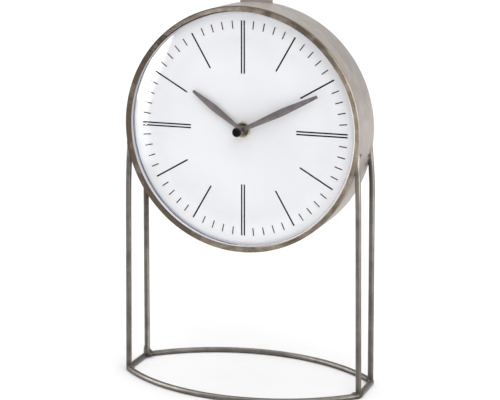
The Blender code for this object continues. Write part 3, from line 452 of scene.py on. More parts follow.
def dressed(piece, slot, finish, *nodes, body="case_and_stand", angle=SHARP):
    """Gives a finished shape its material and its body, and hides the nodes that it stands for; slot is
    not used.
    """
    take(piece)
    bpy.ops.object.shade_smooth_by_angle(angle=angle)
    let_go()
    piece.data.materials.clear()
    piece.data.materials.append(FINISH[finish])
    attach(piece, body)
    if nodes:
        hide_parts(*nodes)


# Shader nodes

def node(kind, inputs, **settings):
    """A shader node in the tree of the outputs that it links; an input is a value or an output."""
    linked = [value for value in inputs.values() if isinstance(value, bpy.types.NodeSocket)]
    tree = linked[0].id_data
    made = tree.nodes.new("ShaderNode" + kind)
    for name, value in settings.items():
        setattr(made, name, value)
    for socket, value in inputs.items():
        if value in linked:
            tree.links.new(value, made.inputs[socket])
        else:
            made.inputs[socket].default_value = value
    return made


def new_finish(name, **sockets):
    """A Principled material with the sockets that are the same all over."""
    material = bpy.data.materials.new(name)
    material.use_nodes = True
    shader = material.node_tree.nodes["Principled BSDF"]
    for socket, value in sockets.items():
        shader.inputs[socket.replace("_", " ")].default_value = value
    return material, material.node_tree


def wired(material, tone, rough=None, bump=None):
    """Links a material's colour, roughness and bump to its shader."""
    tree = material.node_tree
    shader = tree.nodes["Principled BSDF"]
    for output, socket in ((tone, "Base Color"), (rough, "Roughness"), (bump, "Normal")):
        if output:
            tree.links.new(output, shader.inputs[socket])
    return material


def math_of(operation, *values):
    return node("Math", dict(enumerate(values)), operation=operation).outputs[0]


def times(first, *others):
    """The product of two or more values."""
    for other in others:
        first = math_of("MULTIPLY", first, other)
    return first


def vector_of(operation, *vectors):
    """Vector arithmetic that gives a vector."""
    return node("VectorMath", dict(enumerate(vectors)), operation=operation).outputs[0]


def measure_of(operation, *vectors):
    """Vector arithmetic that gives a number."""
    return node("VectorMath", dict(enumerate(vectors)), operation=operation).outputs["Value"]


def axes_of(vector):
    return node("SeparateXYZ", {0: vector}).outputs


def object_space(tree, scale=(1, 1, 1), centre=(0, 0, 0), turn=0):
    """Object coordinates about a centre, turned about Y and then stretched along each axis."""
    inputs = {
        "Vector": tree.nodes.new("ShaderNodeTexCoord").outputs["Object"],
        "Location": centre,
        "Rotation": (0, turn, 0),
        "Scale": tuple(1 / amount for amount in scale),
    }
    return node("Mapping", inputs, vector_type="TEXTURE").outputs[0]


def about_axis(tree):
    """The direction from the dial's axis, the distance from it, and the depth from front to back."""
    centred = object_space(tree, centre=(0, 0, AXIS_HEIGHT))
    flat = vector_of("MULTIPLY", centred, (1, 0, 1))
    radius = measure_of("LENGTH", flat)
    return vector_of("NORMALIZE", flat), radius, axes_of(centred)["Y"]


def noise(vector, scale, detail=4, roughness=0.55, distortion=0):
    inputs = {"Vector": vector, "Scale": scale, "Detail": detail, "Roughness": roughness}
    return node("TexNoise", {**inputs, "Distortion": distortion}).outputs["Fac"]


def between(factor, low, high, start=0.35, end=0.65):
    """Maps a pattern from start..end to low..high."""
    inputs = {"Value": factor, "From Min": start, "From Max": end, "To Min": low, "To Max": high}
    return node("MapRange", inputs, clamp=True).outputs["Result"]


def blend_colours(factor, dark, light):
    """Mixes two colours, each given as a value or as another node's output."""
    ends = [(*end, 1) if isinstance(end, tuple) else end for end in (dark, light)]
    inputs = {0: factor, 6: ends[0], 7: ends[1]}
    return node("Mix", inputs, data_type="RGBA").outputs[2]


def raised(height, strength, distance, normal=None):
    inputs = {"Height": height, "Strength": strength, "Distance": distance}
    if normal:
        inputs["Normal"] = normal
    return node("Bump", inputs).outputs["Normal"]


# Directions of the streaks in the metal

def streaks_of(*scale, turn=0):
    """Straight streaks, as the detail in a metre along X, Y and Z."""
    return lambda tree: object_space(tree, scale, turn=turn)


def rings_of(along, across, depth):
    """Streaks that follow a circle about the dial's axis.

    along is the detail in one turn, across the detail in a metre of radius, and depth the detail
    in a metre from front to back.
    """
    def space(tree):
        heading, radius, behind = about_axis(tree)
        wound = vector_of("MULTIPLY", heading, (along, along, along))
        lift = math_of("ADD", times(radius, across), times(behind, depth))
        return vector_of("ADD", wound, node("CombineXYZ", {"Y": lift}).outputs[0])

    return space


# Masks of wear, stains and heat marks, and of painted highlights and painted shade

def ragged(value, amount, scale=420):
    """A value with noise added, so that the edge of a mask made from it is uneven."""
    uneven = noise(object_space(value.id_data), scale, 4, 0.6)
    return math_of("MULTIPLY_ADD", uneven, amount, value)


def side_share(tree, start, end, axis="X", low=0, high=1):
    """A mask that grows from one side of the case to the other."""
    return between(axes_of(about_axis(tree)[0])[axis], low, high, start, end)


def near_heading(heading, clock_angle, high):
    """A mask around one direction from the dial's axis."""
    toward = (sin(radians(clock_angle)), 0, cos(radians(clock_angle)))
    return between(measure_of("DOT_PRODUCT", heading, toward), 0, high, 0.9, 0.99)


def ring_mask(tree, start, end, low, high, uneven, scale=420):
    """A mask that goes from low to high between two distances from the dial's axis."""
    return between(ragged(about_axis(tree)[1], uneven, scale), low, high, start, end)


def inner_line(tree, width):
    """A line along the bezel's inner edge that fades out over its last part."""
    return ring_mask(tree, BEZEL_INNER + 0.0009, BEZEL_INNER + width, 0.95, 0, uneven=0.0003)


def outer_rounding_highlight(tree):
    """The bezel's rubbed outer rounding, painted bright on the right only as a painted highlight."""
    edge = ring_mask(tree, CASE_RADIUS - 0.0006, CASE_RADIUS - 0.0001, 0, 0.6, uneven=0.0006)
    return times(edge, side_share(tree, 0.72, 0.93))


def inner_corner_highlight(tree):
    """A painted highlight: the thin bright line along the bezel's inner edge at the lower right, where
    the inner corner catches the light.
    """
    lower = side_share(tree, 0.2, 0.6, "Z", 1, 0)
    return times(lower, side_share(tree, 0.1, 0.5), inner_line(tree, 0.0012))


def inner_edge_shadow(tree):
    """Painted shadow along the bezel's inner edge, at the upper left."""
    left = times(side_share(tree, 0.05, -0.25), side_share(tree, -0.85, -0.6))
    return times(left, side_share(tree, 0.4, 0.75, "Z"), inner_line(tree, 0.0013))


def top_rounding_shade(tree):
    """Painted shade on the bezel's outer rounding at the top, where the seam to the drum lies in shadow.
    """
    edge = ring_mask(tree, CASE_RADIUS - 0.0009, CASE_RADIUS - 0.0003, 0, 0.9, uneven=0.0004)
    return times(edge, side_share(tree, 0.72, 0.88, "Z"))


def brown_spots(tree):
    """Dark spots in the bezel's finish, at the upper left."""
    spots = between(noise(object_space(tree), 620, 4, 0.6), 0, 0.95, 0.5, 0.58)
    return times(side_share(tree, 0.3, 0.6, "Z"), side_share(tree, -0.3, -0.6), spots)


def joint_shade(tree):
    """Painted shade in the joint between the bezel and the drum, most of it at the top."""
    joint = FACE_Y + (depths("bezel_ring")[1] + depths("drum_shell")[0]) / 2
    behind = math_of("SUBTRACT", about_axis(tree)[2], joint)
    away = math_of("ABSOLUTE", behind)
    near = between(away, 0.85, 0, JOINT_EDGE, JOINT_EDGE * 1.9)
    return times(near, side_share(tree, -0.2, 0.6, "Z", 0.25, 1))


def weld_dark_patch(place, near, far, flattened):
    """A dark patch near a weld, at the same place on the left and the right."""
    def mask(tree):
        split = axes_of(object_space(tree, (1, flattened, 1)))
        across = math_of("ABSOLUTE", split["X"])
        spot = node("CombineXYZ", {"X": across, "Y": split["Y"], "Z": split["Z"]}).outputs[0]
        away = measure_of("DISTANCE", spot, (place[0], place[1] * flattened, place[2]))
        return between(ragged(away, 0.0008, 900), 0.95, 0, near, far)

    return mask


def nut_rim_wear_and_highlight(tree):
    """The nut's rubbed corners and chamfers, painted lighter so that they also stand in for the
    highlights along its edges.
    """
    return ring_mask(tree, 0.0062, 0.0068, 0, 0.9, uneven=0.0012, scale=900)


def rear_leg_drum_shadow(tree):
    """Painted shadow on the upper part of the rear left leg, where the drum shades it."""
    place = axes_of(object_space(tree))
    high = between(ragged(place["Z"], 0.01), 0, 0.85, 0.130, 0.158)
    left = between(place["X"], 1, 0, -0.001, 0.001)
    return times(left, between(place["Y"], 0, 1, -0.001, 0.001), high)


def ground_tops(tree):
    """The bright ground ends of the front legs, where they are welded to the drum."""
    place = axes_of(object_space(tree))
    start, end = LEG_TOP_HEIGHT - 0.0155, LEG_TOP_HEIGHT - 0.0065
    high = between(ragged(place["Z"], 0.005), 0, 0.8, start, end)
    return times(high, between(place["Y"], 1, 0, -0.001, 0.001))


def lower_part(tree):
    """The part of the inner wall below the dial, which is painted lighter as painted light."""
    return side_share(tree, -0.3, -0.8, "Z")


def case_top_light(tree):
    """Painted light: lighter towards the top."""
    return math_of("MULTIPLY_ADD", axes_of(about_axis(tree)[0])["Z"], 0.26, -0.09)


def bezel_painted_sheen(tree):
    """Painted sheen: a little lighter to the right, at four places around the ring and at the upper
    left, and a little darker at the left.
    """
    heading = about_axis(tree)[0]
    axes = axes_of(heading)
    four = math_of("COSINE", times(math_of("ARCTAN2", axes["X"], axes["Z"]), 4))
    side = math_of("MULTIPLY_ADD", axes["X"], 0.06, -0.06)
    for clock_angle, change in ((332, 0.15), (285, -0.12)):
        side = math_of("ADD", side, near_heading(heading, clock_angle, change))
    return math_of("MULTIPLY_ADD", four, 0.075, side)


# Finishes

def brushed_metal(name, dark, light, space, rough, streak, metallic=1, blotch=200, wear_and_painted_light=(), sweep=None):
    """Worn brushed metal: soft blotches, fine streaks along the work, and a roughness that varies.

    space makes the streaks' coordinates, streak is their depth, and blotch the blotches' detail in a
    metre.
    The list of wear and painted light holds pairs of a mask and the colour that shows through it.
    sweep adds a slow change of tone to the blotches: painted light and sheen, where it is given.
    """
    material, tree = new_finish(name, Metallic=metallic)
    plain = object_space(tree)
    blotches = noise(plain, blotch, 5, 0.6, 0.4)
    if sweep:
        blotches = math_of("ADD", blotches, sweep(tree))
    grain = noise(plain, 900, 3, 0.6)
    streaks = noise(space(tree), 1, 5, 0.65)
    tone = blend_colours(between(blotches, 0, 1), dark, light)
    deep = tuple(0.72 * channel for channel in dark)
    tone = blend_colours(between(streaks, 0.45, 0, 0.3, 0.55), tone, deep)
    tone = blend_colours(between(grain, 0.25, 0, 0.3, 0.5), tone, deep)
    for mask, colour in wear_and_painted_light:
        tone = blend_colours(mask(tree), tone, colour)
    bump = raised(streaks, 0.35, streak)
    bump = raised(blotches, 0.25, streak * 4, bump)
    bump = raised(grain, 0.2, streak, bump)
    return wired(material, tone, between(streaks, rough + 0.1, rough - 0.06, 0.3, 0.7), bump)


def moulded(name, colour, rough, grain=1400, bump=0.00002, painted_light_patch=None, **sockets):
    """Moulded plastic or rubber: fine spark-eroded grain, faint flow marks and, where given, a lighter
    patch of painted light.

    The patch is a mask and the colour that shows through it.
    """
    material, tree = new_finish(name, **sockets)
    fine = noise(object_space(tree), grain, 3, 0.6)
    flow = noise(object_space(tree, (60, 60, 22)), 1, 4, 0.5, 0.8)
    lighter = tuple(min(1, 1.35 * channel + 0.002) for channel in colour)
    tone = blend_colours(between(flow, 0, 0.6), colour, lighter)
    if painted_light_patch:
        tone = blend_colours(painted_light_patch[0](tree), tone, painted_light_patch[1])
    roughness = between(fine, rough - 0.07, rough + 0.07)
    return wired(material, tone, roughness, raised(fine, 0.4, bump))


def dial_paint():
    """Matt white paint with a faint tooth and hardly seen cloudiness, lighter towards the rim, most at
    the top and bottom, as painted light.
    """
    material, tree = new_finish("white_dial_paint", Specular_IOR_Level=0.3)
    plain = object_space(tree)
    clouds = noise(plain, 22, 4, 0.5)
    tooth = noise(plain, 1800, 4, 0.7)
    tone = blend_colours(between(clouds, 0, 1), (0.77, 0.77, 0.787), (0.805, 0.805, 0.822))
    heading, radius, _ = about_axis(tree)
    # Painted light: the rim is made lighter, most at the top and bottom, to lift the shade the case
    # casts there.
    upright = between(math_of("ABSOLUTE", axes_of(heading)["Z"]), 0, 1, 0.5, 1)
    pale = blend_colours(upright, (0.89, 0.89, 0.905), (0.965, 0.965, 0.98))
    tone = blend_colours(between(radius, 0, 1, 0.074, 0.093), tone, pale)
    tone = blend_colours(between(tooth, 0.08, 0, 0.3, 0.5), tone, (0.66, 0.66, 0.68))
    return wired(material, tone, between(tooth, 0.5, 0.62), raised(tooth, 0.3, 0.000015))


def clear_glass(name, bending, dark, light):
    """Glass with the faintest smears in its tone."""
    material, tree = new_finish(name, Roughness=0, IOR=bending, Transmission_Weight=1)
    smears = noise(object_space(tree, (30, 30, 60)), 1, 5, 0.6, 1)
    return wired(material, blend_colours(between(smears, 0, 1), dark, light))


def pressed_board():
    """Brown hardboard: short pressed fibres in every direction."""
    material, tree = new_finish("brown_hardboard")
    fibres = noise(object_space(tree, (260, 260, 900)), 1, 6, 0.7, 1.6)
    cross = noise(object_space(tree, (900, 260, 240)), 1, 6, 0.7, 1.6)
    tone = blend_colours(between(fibres, 0, 1), (0.13, 0.075, 0.038), (0.26, 0.16, 0.085))
    tone = blend_colours(between(cross, 0, 0.6), tone, (0.18, 0.11, 0.06))
    return wired(material, tone, between(cross, 0.62, 0.85), raised(fibres, 0.6, 0.00006))


def wound_wire():
    """Lacquered copper wire in close turns along X."""
    material, tree = new_finish("copper_winding", Metallic=1)
    inputs = {"Vector": object_space(tree), "Scale": 900, "Distortion": 0.4, "Detail": 2.0}
    turns = node("TexWave", inputs, wave_type="BANDS", bands_direction="X").outputs["Fac"]
    tone = blend_colours(turns, (0.30, 0.095, 0.035), (0.72, 0.30, 0.13))
    rough = between(turns, 0.45, 0.28, 0, 1)
    return wired(material, tone, rough, raised(turns, 0.8, 0.0001))


def circuit_lacquer():
    """Green lacquer over copper tracks that run in steps."""
    material, tree = new_finish("green_lacquer")
    inputs = {"Vector": object_space(tree), "Scale": 420, "Mortar Size": 0.06}
    colours = {"Color1": (0, 0, 0, 1), "Color2": (0.25, 0.25, 0.25, 1), "Mortar": (1, 1, 1, 1)}
    tracks = node("TexBrick", {**inputs, **colours}).outputs["Color"]
    level = node("RGBToBW", {0: tracks}).outputs[0]
    tone = blend_colours(level, (0.012, 0.085, 0.035), (0.05, 0.21, 0.08))
    rough = between(level, 0.3, 0.5, 0, 1)
    return wired(material, tone, rough, raised(level, 0.4, 0.00003))


def battery_sleeve():
    """A shrunk sleeve in two plain colours, with fine wrinkles."""
    material, tree = new_finish("battery_sleeve", Metallic=0.35)
    along = axes_of(object_space(tree, centre=tuple(middle("battery"))))["X"]
    wrinkles = noise(object_space(tree, (70, 900, 900)), 1, 4, 0.5)
    band = between(along, 0, 1, 0.0105, 0.0108)
    tone = blend_colours(band, (0.022, 0.022, 0.024), (0.50, 0.27, 0.07))
    tone = blend_colours(between(wrinkles, 0.12, 0), tone, (0.3, 0.3, 0.3))
    return wired(material, tone, between(wrinkles, 0.2, 0.34), raised(wrinkles, 0.2, 0.00003))


def studio_floor():
    """A pale seamless floor with a barely seen grain."""
    material, tree = new_finish("pale_floor", Roughness=0.9, Specular_IOR_Level=0.1)
    grain = between(noise(object_space(tree), 40, 4, 0.6), 0, 1)
    return wired(material, blend_colours(grain, (0.725, 0.725, 0.725), (0.735, 0.735, 0.735)))


def case_metals():
    """The metals that the photograph shows most of."""
    kinds = {
        "case_side": brushed_metal(
            "satin_case_side", (0.385, 0.340, 0.308), (0.495, 0.454, 0.418), rings_of(9, 0, 700),
            # the sweep paints the drum lighter towards the top: painted light
            rough=0.42, streak=0.00001, metallic=0.85, blotch=55, sweep=case_top_light,
            wear_and_painted_light=(
                # painted shade in the joint to the bezel
                (joint_shade, (0.07, 0.06, 0.05)),
                (weld_dark_patch(*FRONT_TOP_SPOT), TOP_SPOT_COLOUR),
                (weld_dark_patch(*REAR_TOP_SPOT), TOP_SPOT_COLOUR),
            ),
        ),
        "back": brushed_metal(
            "spun_back", (0.315, 0.290, 0.268), (0.385, 0.358, 0.335), rings_of(3, 1800, 0),
            rough=0.42, streak=0.000008, metallic=0.85, blotch=30,
        ),
        "bezel": brushed_metal(
            "brown_bezel", (0.122, 0.094, 0.066), (0.400, 0.343, 0.275), rings_of(14, 1500, 300),
            # the sweep paints sheen into the bezel's tone: painted reflections
            rough=0.38, streak=0.000012, metallic=0.85, blotch=55, sweep=bezel_painted_sheen,
            wear_and_painted_light=(
                # painted highlight on the right of the rubbed outer rounding
                (outer_rounding_highlight, (0.50, 0.46, 0.40)),
                # painted highlight along the inner corner, lower right
                (inner_corner_highlight, (0.95, 0.88, 0.78)),
                # painted shadow along the inner edge, upper left
                (inner_edge_shadow, (0.022, 0.024, 0.032)),
                # painted shade on the outer rounding at the top
                (top_rounding_shade, (0.075, 0.064, 0.052)),
                # painted shade in the joint to the drum
                (joint_shade, (0.05, 0.042, 0.034)),
                (brown_spots, (0.060, 0.044, 0.030)),
            ),
        ),
        "rod": brushed_metal(
            "grey_rod", (0.105, 0.094, 0.082), (0.180, 0.166, 0.148), streaks_of(900, 900, 45),
            rough=0.34, streak=0.000012, metallic=0.85, blotch=55,
            wear_and_painted_light=(
                (ground_tops, (0.34, 0.305, 0.27)),
                # painted shadow of the drum on the rear left leg
                (rear_leg_drum_shadow, (0.075, 0.055, 0.040)),
                (weld_dark_patch(*FRONT_FOOT_STAIN), FOOT_STAIN_COLOUR),
                (weld_dark_patch(*REAR_FOOT_STAIN), FOOT_STAIN_COLOUR),
            ),
        ),
    }
    for hand_name, angle in HAND_ANGLES.items():
        kinds[hand_name] = brushed_metal(
            "pewter_" + hand_name, (0.140, 0.120, 0.116), (0.250, 0.222, 0.218),
            streaks_of(2200, 2200, 120, turn=angle),
            rough=0.40, streak=0.000008, metallic=0.8, blotch=140,
        )
    return kinds


def small_metals():
    """The metals of the hub, the movement and the screws."""
    return {
        "nut": brushed_metal(
            "old_brass", (0.085, 0.070, 0.030), (0.34, 0.29, 0.16), streaks_of(500, 500, 2500),
            # rubbed chamfers, painted lighter also as painted highlights
            rough=0.24, streak=0.000008, blotch=160, wear_and_painted_light=((nut_rim_wear_and_highlight, (0.66, 0.60, 0.42)),),
        ),
        "collar": brushed_metal(
            "brown_hub_collar", (0.055, 0.046, 0.040), (0.26, 0.225, 0.20),
            streaks_of(1400, 90, 1400), rough=0.24, streak=0.00001, blotch=300,
        ),
        "zinc": brushed_metal(
            "zinc_plating", (0.48, 0.48, 0.47), (0.62, 0.62, 0.60), streaks_of(900, 900, 900),
            rough=0.3, streak=0.000006,
        ),
        "magnet": brushed_metal(
            "magnet_grey", (0.07, 0.07, 0.075), (0.12, 0.12, 0.125), streaks_of(1500, 200, 1500),
            rough=0.5, streak=0.000006, metallic=0.7, blotch=300,
        ),
        "iron": brushed_metal(
            "soft_iron", (0.24, 0.24, 0.25), (0.38, 0.38, 0.39), streaks_of(300, 2500, 1500),
            rough=0.36, streak=0.000006,
        ),
        "contact": brushed_metal(
            "nickel_strip", (0.50, 0.48, 0.44), (0.66, 0.64, 0.60), streaks_of(900, 300, 1800),
            rough=0.25, streak=0.000006, blotch=220,
        ),
    }


def other_finishes():
    """Paint, glass, plastics, rubber, board and the rest."""
    ink_shine, cap_shine = {"Specular_IOR_Level": 0.05}, {"Specular_IOR_Level": 0.08}
    # The inner wall's lower part is painted lighter: painted light.
    painted_wall_foot_light = (lower_part, (0.62, 0.605, 0.615))
    return {
        "inner_wall": moulded(
            "pale_inner_wall", (0.49, 0.475, 0.49), 0.42, 900, 0.00001, painted_wall_foot_light, Metallic=0.15
        ),
        "seat": moulded("glass_seat_rubber", (0.10, 0.12, 0.17), 0.6, 2000, 0.000006),
        "dial": dial_paint(),
        "ink": moulded("printing_ink", (0.003, 0.003, 0.004), 0.8, 2600, 0.000004, **ink_shine),
        "glass": clear_glass("clear_glass", 1.11, (0.97, 0.98, 0.985), (0.99, 0.995, 0.995)),
        "glass_edge": clear_glass("dull_glass_edge", 1.02, (0.935, 0.945, 0.96), (0.965, 0.97, 0.98)),
        "board": pressed_board(),
        "black": moulded("black_housing", (0.012, 0.012, 0.013), 0.42),
        "cap": moulded("black_cap", (0.0015, 0.0015, 0.002), 0.7, 3000, 0.000006, **cap_shine),
        "nylon": moulded("white_nylon", (0.74, 0.73, 0.68), 0.36, 2400, 0.000006),
        "rubber": moulded("black_washer", (0.015, 0.015, 0.015), 0.75, 2000, 0.00002),
        "copper": wound_wire(),
        "circuit": circuit_lacquer(),
        "wrap": battery_sleeve(),
        "floor": studio_floor(),
    }


# Case

def bezel():
    front, rear = depths("bezel_ring")
    edge = BEZEL_INNER_EDGE
    profile = [
        (BEZEL_INNER, front + edge),
        (BEZEL_INNER + 0.3 * edge, front + 0.3 * edge),
        (BEZEL_INNER + edge, front),
    ]
    for i in range(ROUNDING_STEPS + 1):
        angle = pi / 2 * i / ROUNDING_STEPS
        inset, drop = BEZEL_ROUNDING * (1 - sin(angle)), BEZEL_ROUNDING * (1 - cos(angle))
        profile.append((CASE_RADIUS - inset, front + drop))
    profile += [
        (CASE_RADIUS, rear - JOINT_EDGE / 2), (CASE_RADIUS - JOINT_EDGE, rear),
        (BEZEL_INNER, rear), profile[0],
    ]
    dressed(stand_up(turned("bezel_rim", profile)), "bezel_metal", "bezel", "bezel_ring")


def case_drum():
    """The thin side wall, with its rear edge rolled inwards."""
    front, rear = depths("drum_shell")
    inner, hem = CASE_RADIUS - SHELL_WALL, SHELL_HEM
    profile = [
        (inner, front), (CASE_RADIUS - JOINT_EDGE, front), (CASE_RADIUS, front + JOINT_EDGE),
        (CASE_RADIUS, rear - hem), (CASE_RADIUS - 0.27 * hem, rear - 0.27 * hem),
        (CASE_RADIUS - hem, rear), (inner - 0.3 * hem, rear - 0.27 * hem),
        (inner - 0.3 * hem, rear - 1.2 * hem), (inner, rear - 1.5 * hem), (inner, front),
    ]
    dressed(stand_up(turned("case_drum", profile)), "case_metal", "case_side", "drum_shell")


def inner_wall():
    """The pale wall between the bezel and the dial, and the dark ring that the glass sits in."""
    front, rear = depths("inner_ring")
    inner = BEZEL_INNER + INNER_RING_INSET
    ring = tube("inner_wall", inner + INNER_RING_WALL, inner, front, rear, edge=INNER_RING_EDGE)
    dressed(stand_up(ring), "ring_white", "inner_wall", "inner_ring")
    outer, rim = inner - GLASS_SEAT_INNER_PRESS, reach("dome_glass") + GLASS_SEAT_OUTER_PRESS
    seat = tube("glass_seat", outer, rim, rear - GLASS_SEAT_DEPTH, rear, edge=GLASS_SEAT_EDGE)
    dressed(stand_up(seat), "black_rubber", "seat")


def glass():
    """The domed glass: two shallow spherical faces on a short straight skirt."""
    front, rear = depths("dome_glass")
    rim, edge = reach("dome_glass"), GLASS_RIM_EDGE
    inner_rim = rim - GLASS_SKIRT_WALL
    rise = GLASS_SHOULDER - front
    outer_sphere = (rim**2 + rise**2) / (2 * rise)
    centre = front + outer_sphere

    def face(sphere, radius):
        widest = asin(radius / sphere)
        for i in range(1, DOME_STEPS + 1):
            angle = widest * i / DOME_STEPS
            yield sphere * sin(angle), centre - sphere * cos(angle)

    outer = list(face(outer_sphere, rim - edge))
    inner = list(face(outer_sphere - GLASS_WALL, inner_rim - edge))
    outer_shoulder, inner_shoulder = outer[-1][1], inner[-1][1]
    skirt = [
        (rim - 0.3 * edge, outer_shoulder + 0.35 * edge), (rim, outer_shoulder + edge),
        (rim, rear - 0.5 * edge), (rim - 0.5 * edge, rear),
        (inner_rim + 0.5 * edge, rear), (inner_rim, rear - 0.5 * edge),
        (inner_rim, inner_shoulder + edge), (inner_rim - 0.3 * edge, inner_shoulder + 0.35 * edge),
    ]
    dome = turned("domed_glass", outer + skirt + inner[::-1])
    edit(dome)
    pick(dome, "FACE", lambda side: hypot(side.center.x, side.center.y) < 0.0001)
    bpy.ops.mesh.poke()
    let_go()
    dressed(stand_up(dome), "glass", "glass", "dome_glass", angle=GLASS_SHARP)
    dome.data.materials.append(FINISH["glass_edge"])
    shoulder_y = FACE_Y + GLASS_SHOULDER - 0.6 * edge
    for side in dome.data.polygons:
        at = side.center
        if at.y > shoulder_y and hypot(at.x, at.z - AXIS_HEIGHT) > inner_rim - edge:
            side.material_index = 1
    dome.visible_shadow = False
    dome.visible_diffuse = False
    dome.visible_glossy = False


def dial():
    plate = tube("dial_face", reach("dial_plate"), DIAL_HOLE, *depths("dial_plate"), edge=DIAL_EDGE)
    dressed(stand_up(plate), "dial_white", "dial", "dial_plate")


def one_mark(name, inner, width, offset):
    """One printed line of the dial, lying front up, that points to twelve."""
    length = MARK_OUTER_RADIUS - inner
    let_go()
    place = (offset, inner + length / 2, -depths("dial_plate")[0])
    bpy.ops.mesh.primitive_plane_add(size=1, location=place)
    mark = stretched(name, (width, length, 1))
    edit(mark)
    draw_out(0, 0, INK_HEIGHT)
    return tidy_mesh(mark)


def dial_marks():
    """Each kind of mark is made at twelve and copied around the dial, and the copies are joined."""
    for name, (inner, width, lines, places, left_out) in MARKS.items():
        first = [one_mark(f"{name}_{side}", inner, width, offset) for side, offset in lines.items()]
        copies = []
        for i in range(places):
            if left_out and i % left_out == 0:
                continue
            for line in first:
                twin = copied(line, f"{line.name}_{i}")
                twin.rotation_euler = (0, 0, -2 * pi * i / places)
                copies.append(put_in_mesh(twin))
        for line in first:
            bpy.data.objects.remove(line, do_unlink=True)
        take(*copies)
        bpy.ops.object.join()
        dressed(stand_up(new_piece(name)), "dial_white", "ink")


# Hands and hub

def leaf_stations(start, widest, length):
    """How wide half of a leaf-shaped hand is along its length."""
    neck, leaf, tip = HAND_NECK_WIDTH / 2, HAND_LEAF_WIDTH / 2, HAND_TIP_WIDTH / 2
    shares = [i / LEAF_STEPS for i in range(1, LEAF_STEPS + 1)]
    for share in shares:
        rounded = share + (sin(pi / 2 * share) - share) * HAND_ROUNDNESS
        yield start + (widest - start) * share, neck + (leaf - neck) * rounded
    for share in shares:
        rounded = 1 - share + (cos(pi / 2 * share) - 1 + share) * HAND_ROUNDNESS
        yield widest + (length - widest) * share, tip + (leaf - tip) * rounded


def hand(name, node_name, body):
    """A leaf-shaped hand with a round eye and a collet, made pointing at twelve and then turned."""
    collet_front, collet_rear = depths(node_name)
    front = -(collet_front + collet_rear) / 2 + HAND_THICKNESS / 2
    length, bore = HAND_LENGTHS[node_name], HAND_BORES[node_name]
    neck = HAND_NECK_WIDTH / 2
    start = sqrt(HAND_EYE_RADIUS**2 - neck**2) * HAND_ROOT_SHARE
    widest = start + (length - start) * HAND_WIDEST_SHARE
    let_go()
    bpy.ops.mesh.primitive_plane_add(size=1, location=(0, start - HAND_ROOT_LENGTH / 2, front))
    blade = stretched(name, (2 * neck, HAND_ROOT_LENGTH, 1))
    edit(blade)
    pick(blade, "VERT", lambda corner: corner.co.y > start - HAND_ROOT_LENGTH / 2)
    here, half = start, neck
    for there, next_half in leaf_stations(start, widest, length):
        draw_out(0, there - here, 0)
        resize(next_half / half, 1, (0, there, front))
        here, half = there, next_half
    bpy.ops.mesh.select_all(action="SELECT")
    draw_out(0, 0, -HAND_THICKNESS)
    tidy_mesh(blade)
    soften(blade, HAND_EDGE)
    add(blade, tube("eye", HAND_EYE_RADIUS, bore, -front, HAND_THICKNESS - front, DISC_STEPS, HAND_EDGE))
    add(blade, tube("collet", COLLET_RADIUS, bore, collet_front, collet_rear, DISC_STEPS))
    blade.rotation_euler = (0, 0, -HAND_ANGLES[node_name])
    put_in_mesh(blade)
    dressed(stand_up(blade), "hand_metal", node_name, node_name, body=body)


def nut():
    """The hexagon nut on the dial, with both faces chamfered."""
    front, rear = depths("brass_nut")
    corner = NUT_HALF_FLATS / cos(pi / 6)
    let_go()
    bpy.ops.mesh.primitive_cylinder_add(
        vertices=6, radius=corner, depth=rear - front, location=(0, 0, -(front + rear) / 2)
    )
    hexagon = put_in_mesh(new_piece("hex_nut"))
    face, side, chamfer = corner - 2.2 * NUT_CHAMFER, corner + NUT_CORNER_ROOM, 1.1 * NUT_CHAMFER
    profile = [(face, front), (side, front + chamfer), (side, rear - chamfer), (face, rear)]
    join_with(hexagon, turned("nut_limit", profile, DISC_STEPS), "INTERSECT")
    wider, deeper = NUT_BORE_CHAMFER
    mouth = NUT_BORE + wider
    profile = [
        (mouth, front - OVERCUT), (mouth, front), (NUT_BORE, front + deeper), (NUT_BORE, rear + OVERCUT)
    ]
    cut(hexagon, turned("nut_bore", profile, DISC_STEPS))
    soften(hexagon, NUT_EDGE, 1)
    dressed(stand_up(hexagon), "nut_brass", "nut", "brass_nut")


def bush():
    """The threaded tube that the nut is on, with a flange behind the dial."""
    front, rear = depths("threaded_bush")
    flange, flange_front = BUSH_FLANGE[0], rear - BUSH_FLANGE[1]
    root = BUSH_RADIUS - THREAD_DEPTH
    profile = [(BUSH_BORE, front), (BUSH_RADIUS - BUSH_CHAMFER, front)]
    depth = front + THREAD_START
    while depth + THREAD_PITCH < front + THREAD_END:
        profile += [(root, depth), (BUSH_RADIUS, depth + THREAD_PITCH / 2)]
        depth += THREAD_PITCH
    profile += [
        (root, depth), (root, flange_front), (flange, flange_front),
        (flange, rear), (BUSH_BORE, rear), (BUSH_BORE, front),
    ]
    tube_piece = turned("threaded_tube", profile, DISC_STEPS)
    dressed(stand_up(tube_piece), "nut_brass", "nut", "threaded_bush")


def collar_and_cap():
    """The collar in front of the hands and the black cap on it."""
    outer = reach("minute_collar")
    collar = tube("hand_collar", outer, COLLAR_BORE, *depths("minute_collar"), DISC_STEPS, COLLAR_EDGE)
    dressed(stand_up(collar), "hand_metal", "collar", "minute_collar", body="minute_group")
    front, rear = depths("arbor_cap")
    radius, rounding = reach("arbor_cap"), CAP_ROUNDING
    profile = [
        (radius * 0.55, front), (radius - 2 * rounding, front + 0.1 * rounding),
        (radius - 0.4 * rounding, front + 0.4 * rounding), (radius, front + 1.4 * rounding),
        (radius, rear),
    ]
    cap = turned("round_cap", profile, DISC_STEPS)
    dressed(stand_up(cap), "black_plastic", "cap", "arbor_cap", body="minute_group")


# Stand

def rod_start(name, place, heading):
    """An open ring of a rod's section, ready to be drawn along a line."""
    turn = Vector((0, 0, 1)).rotation_difference(Vector(heading)).to_euler()
    return circle(name, ROD_STEPS, ROD_RADIUS, place, turn)


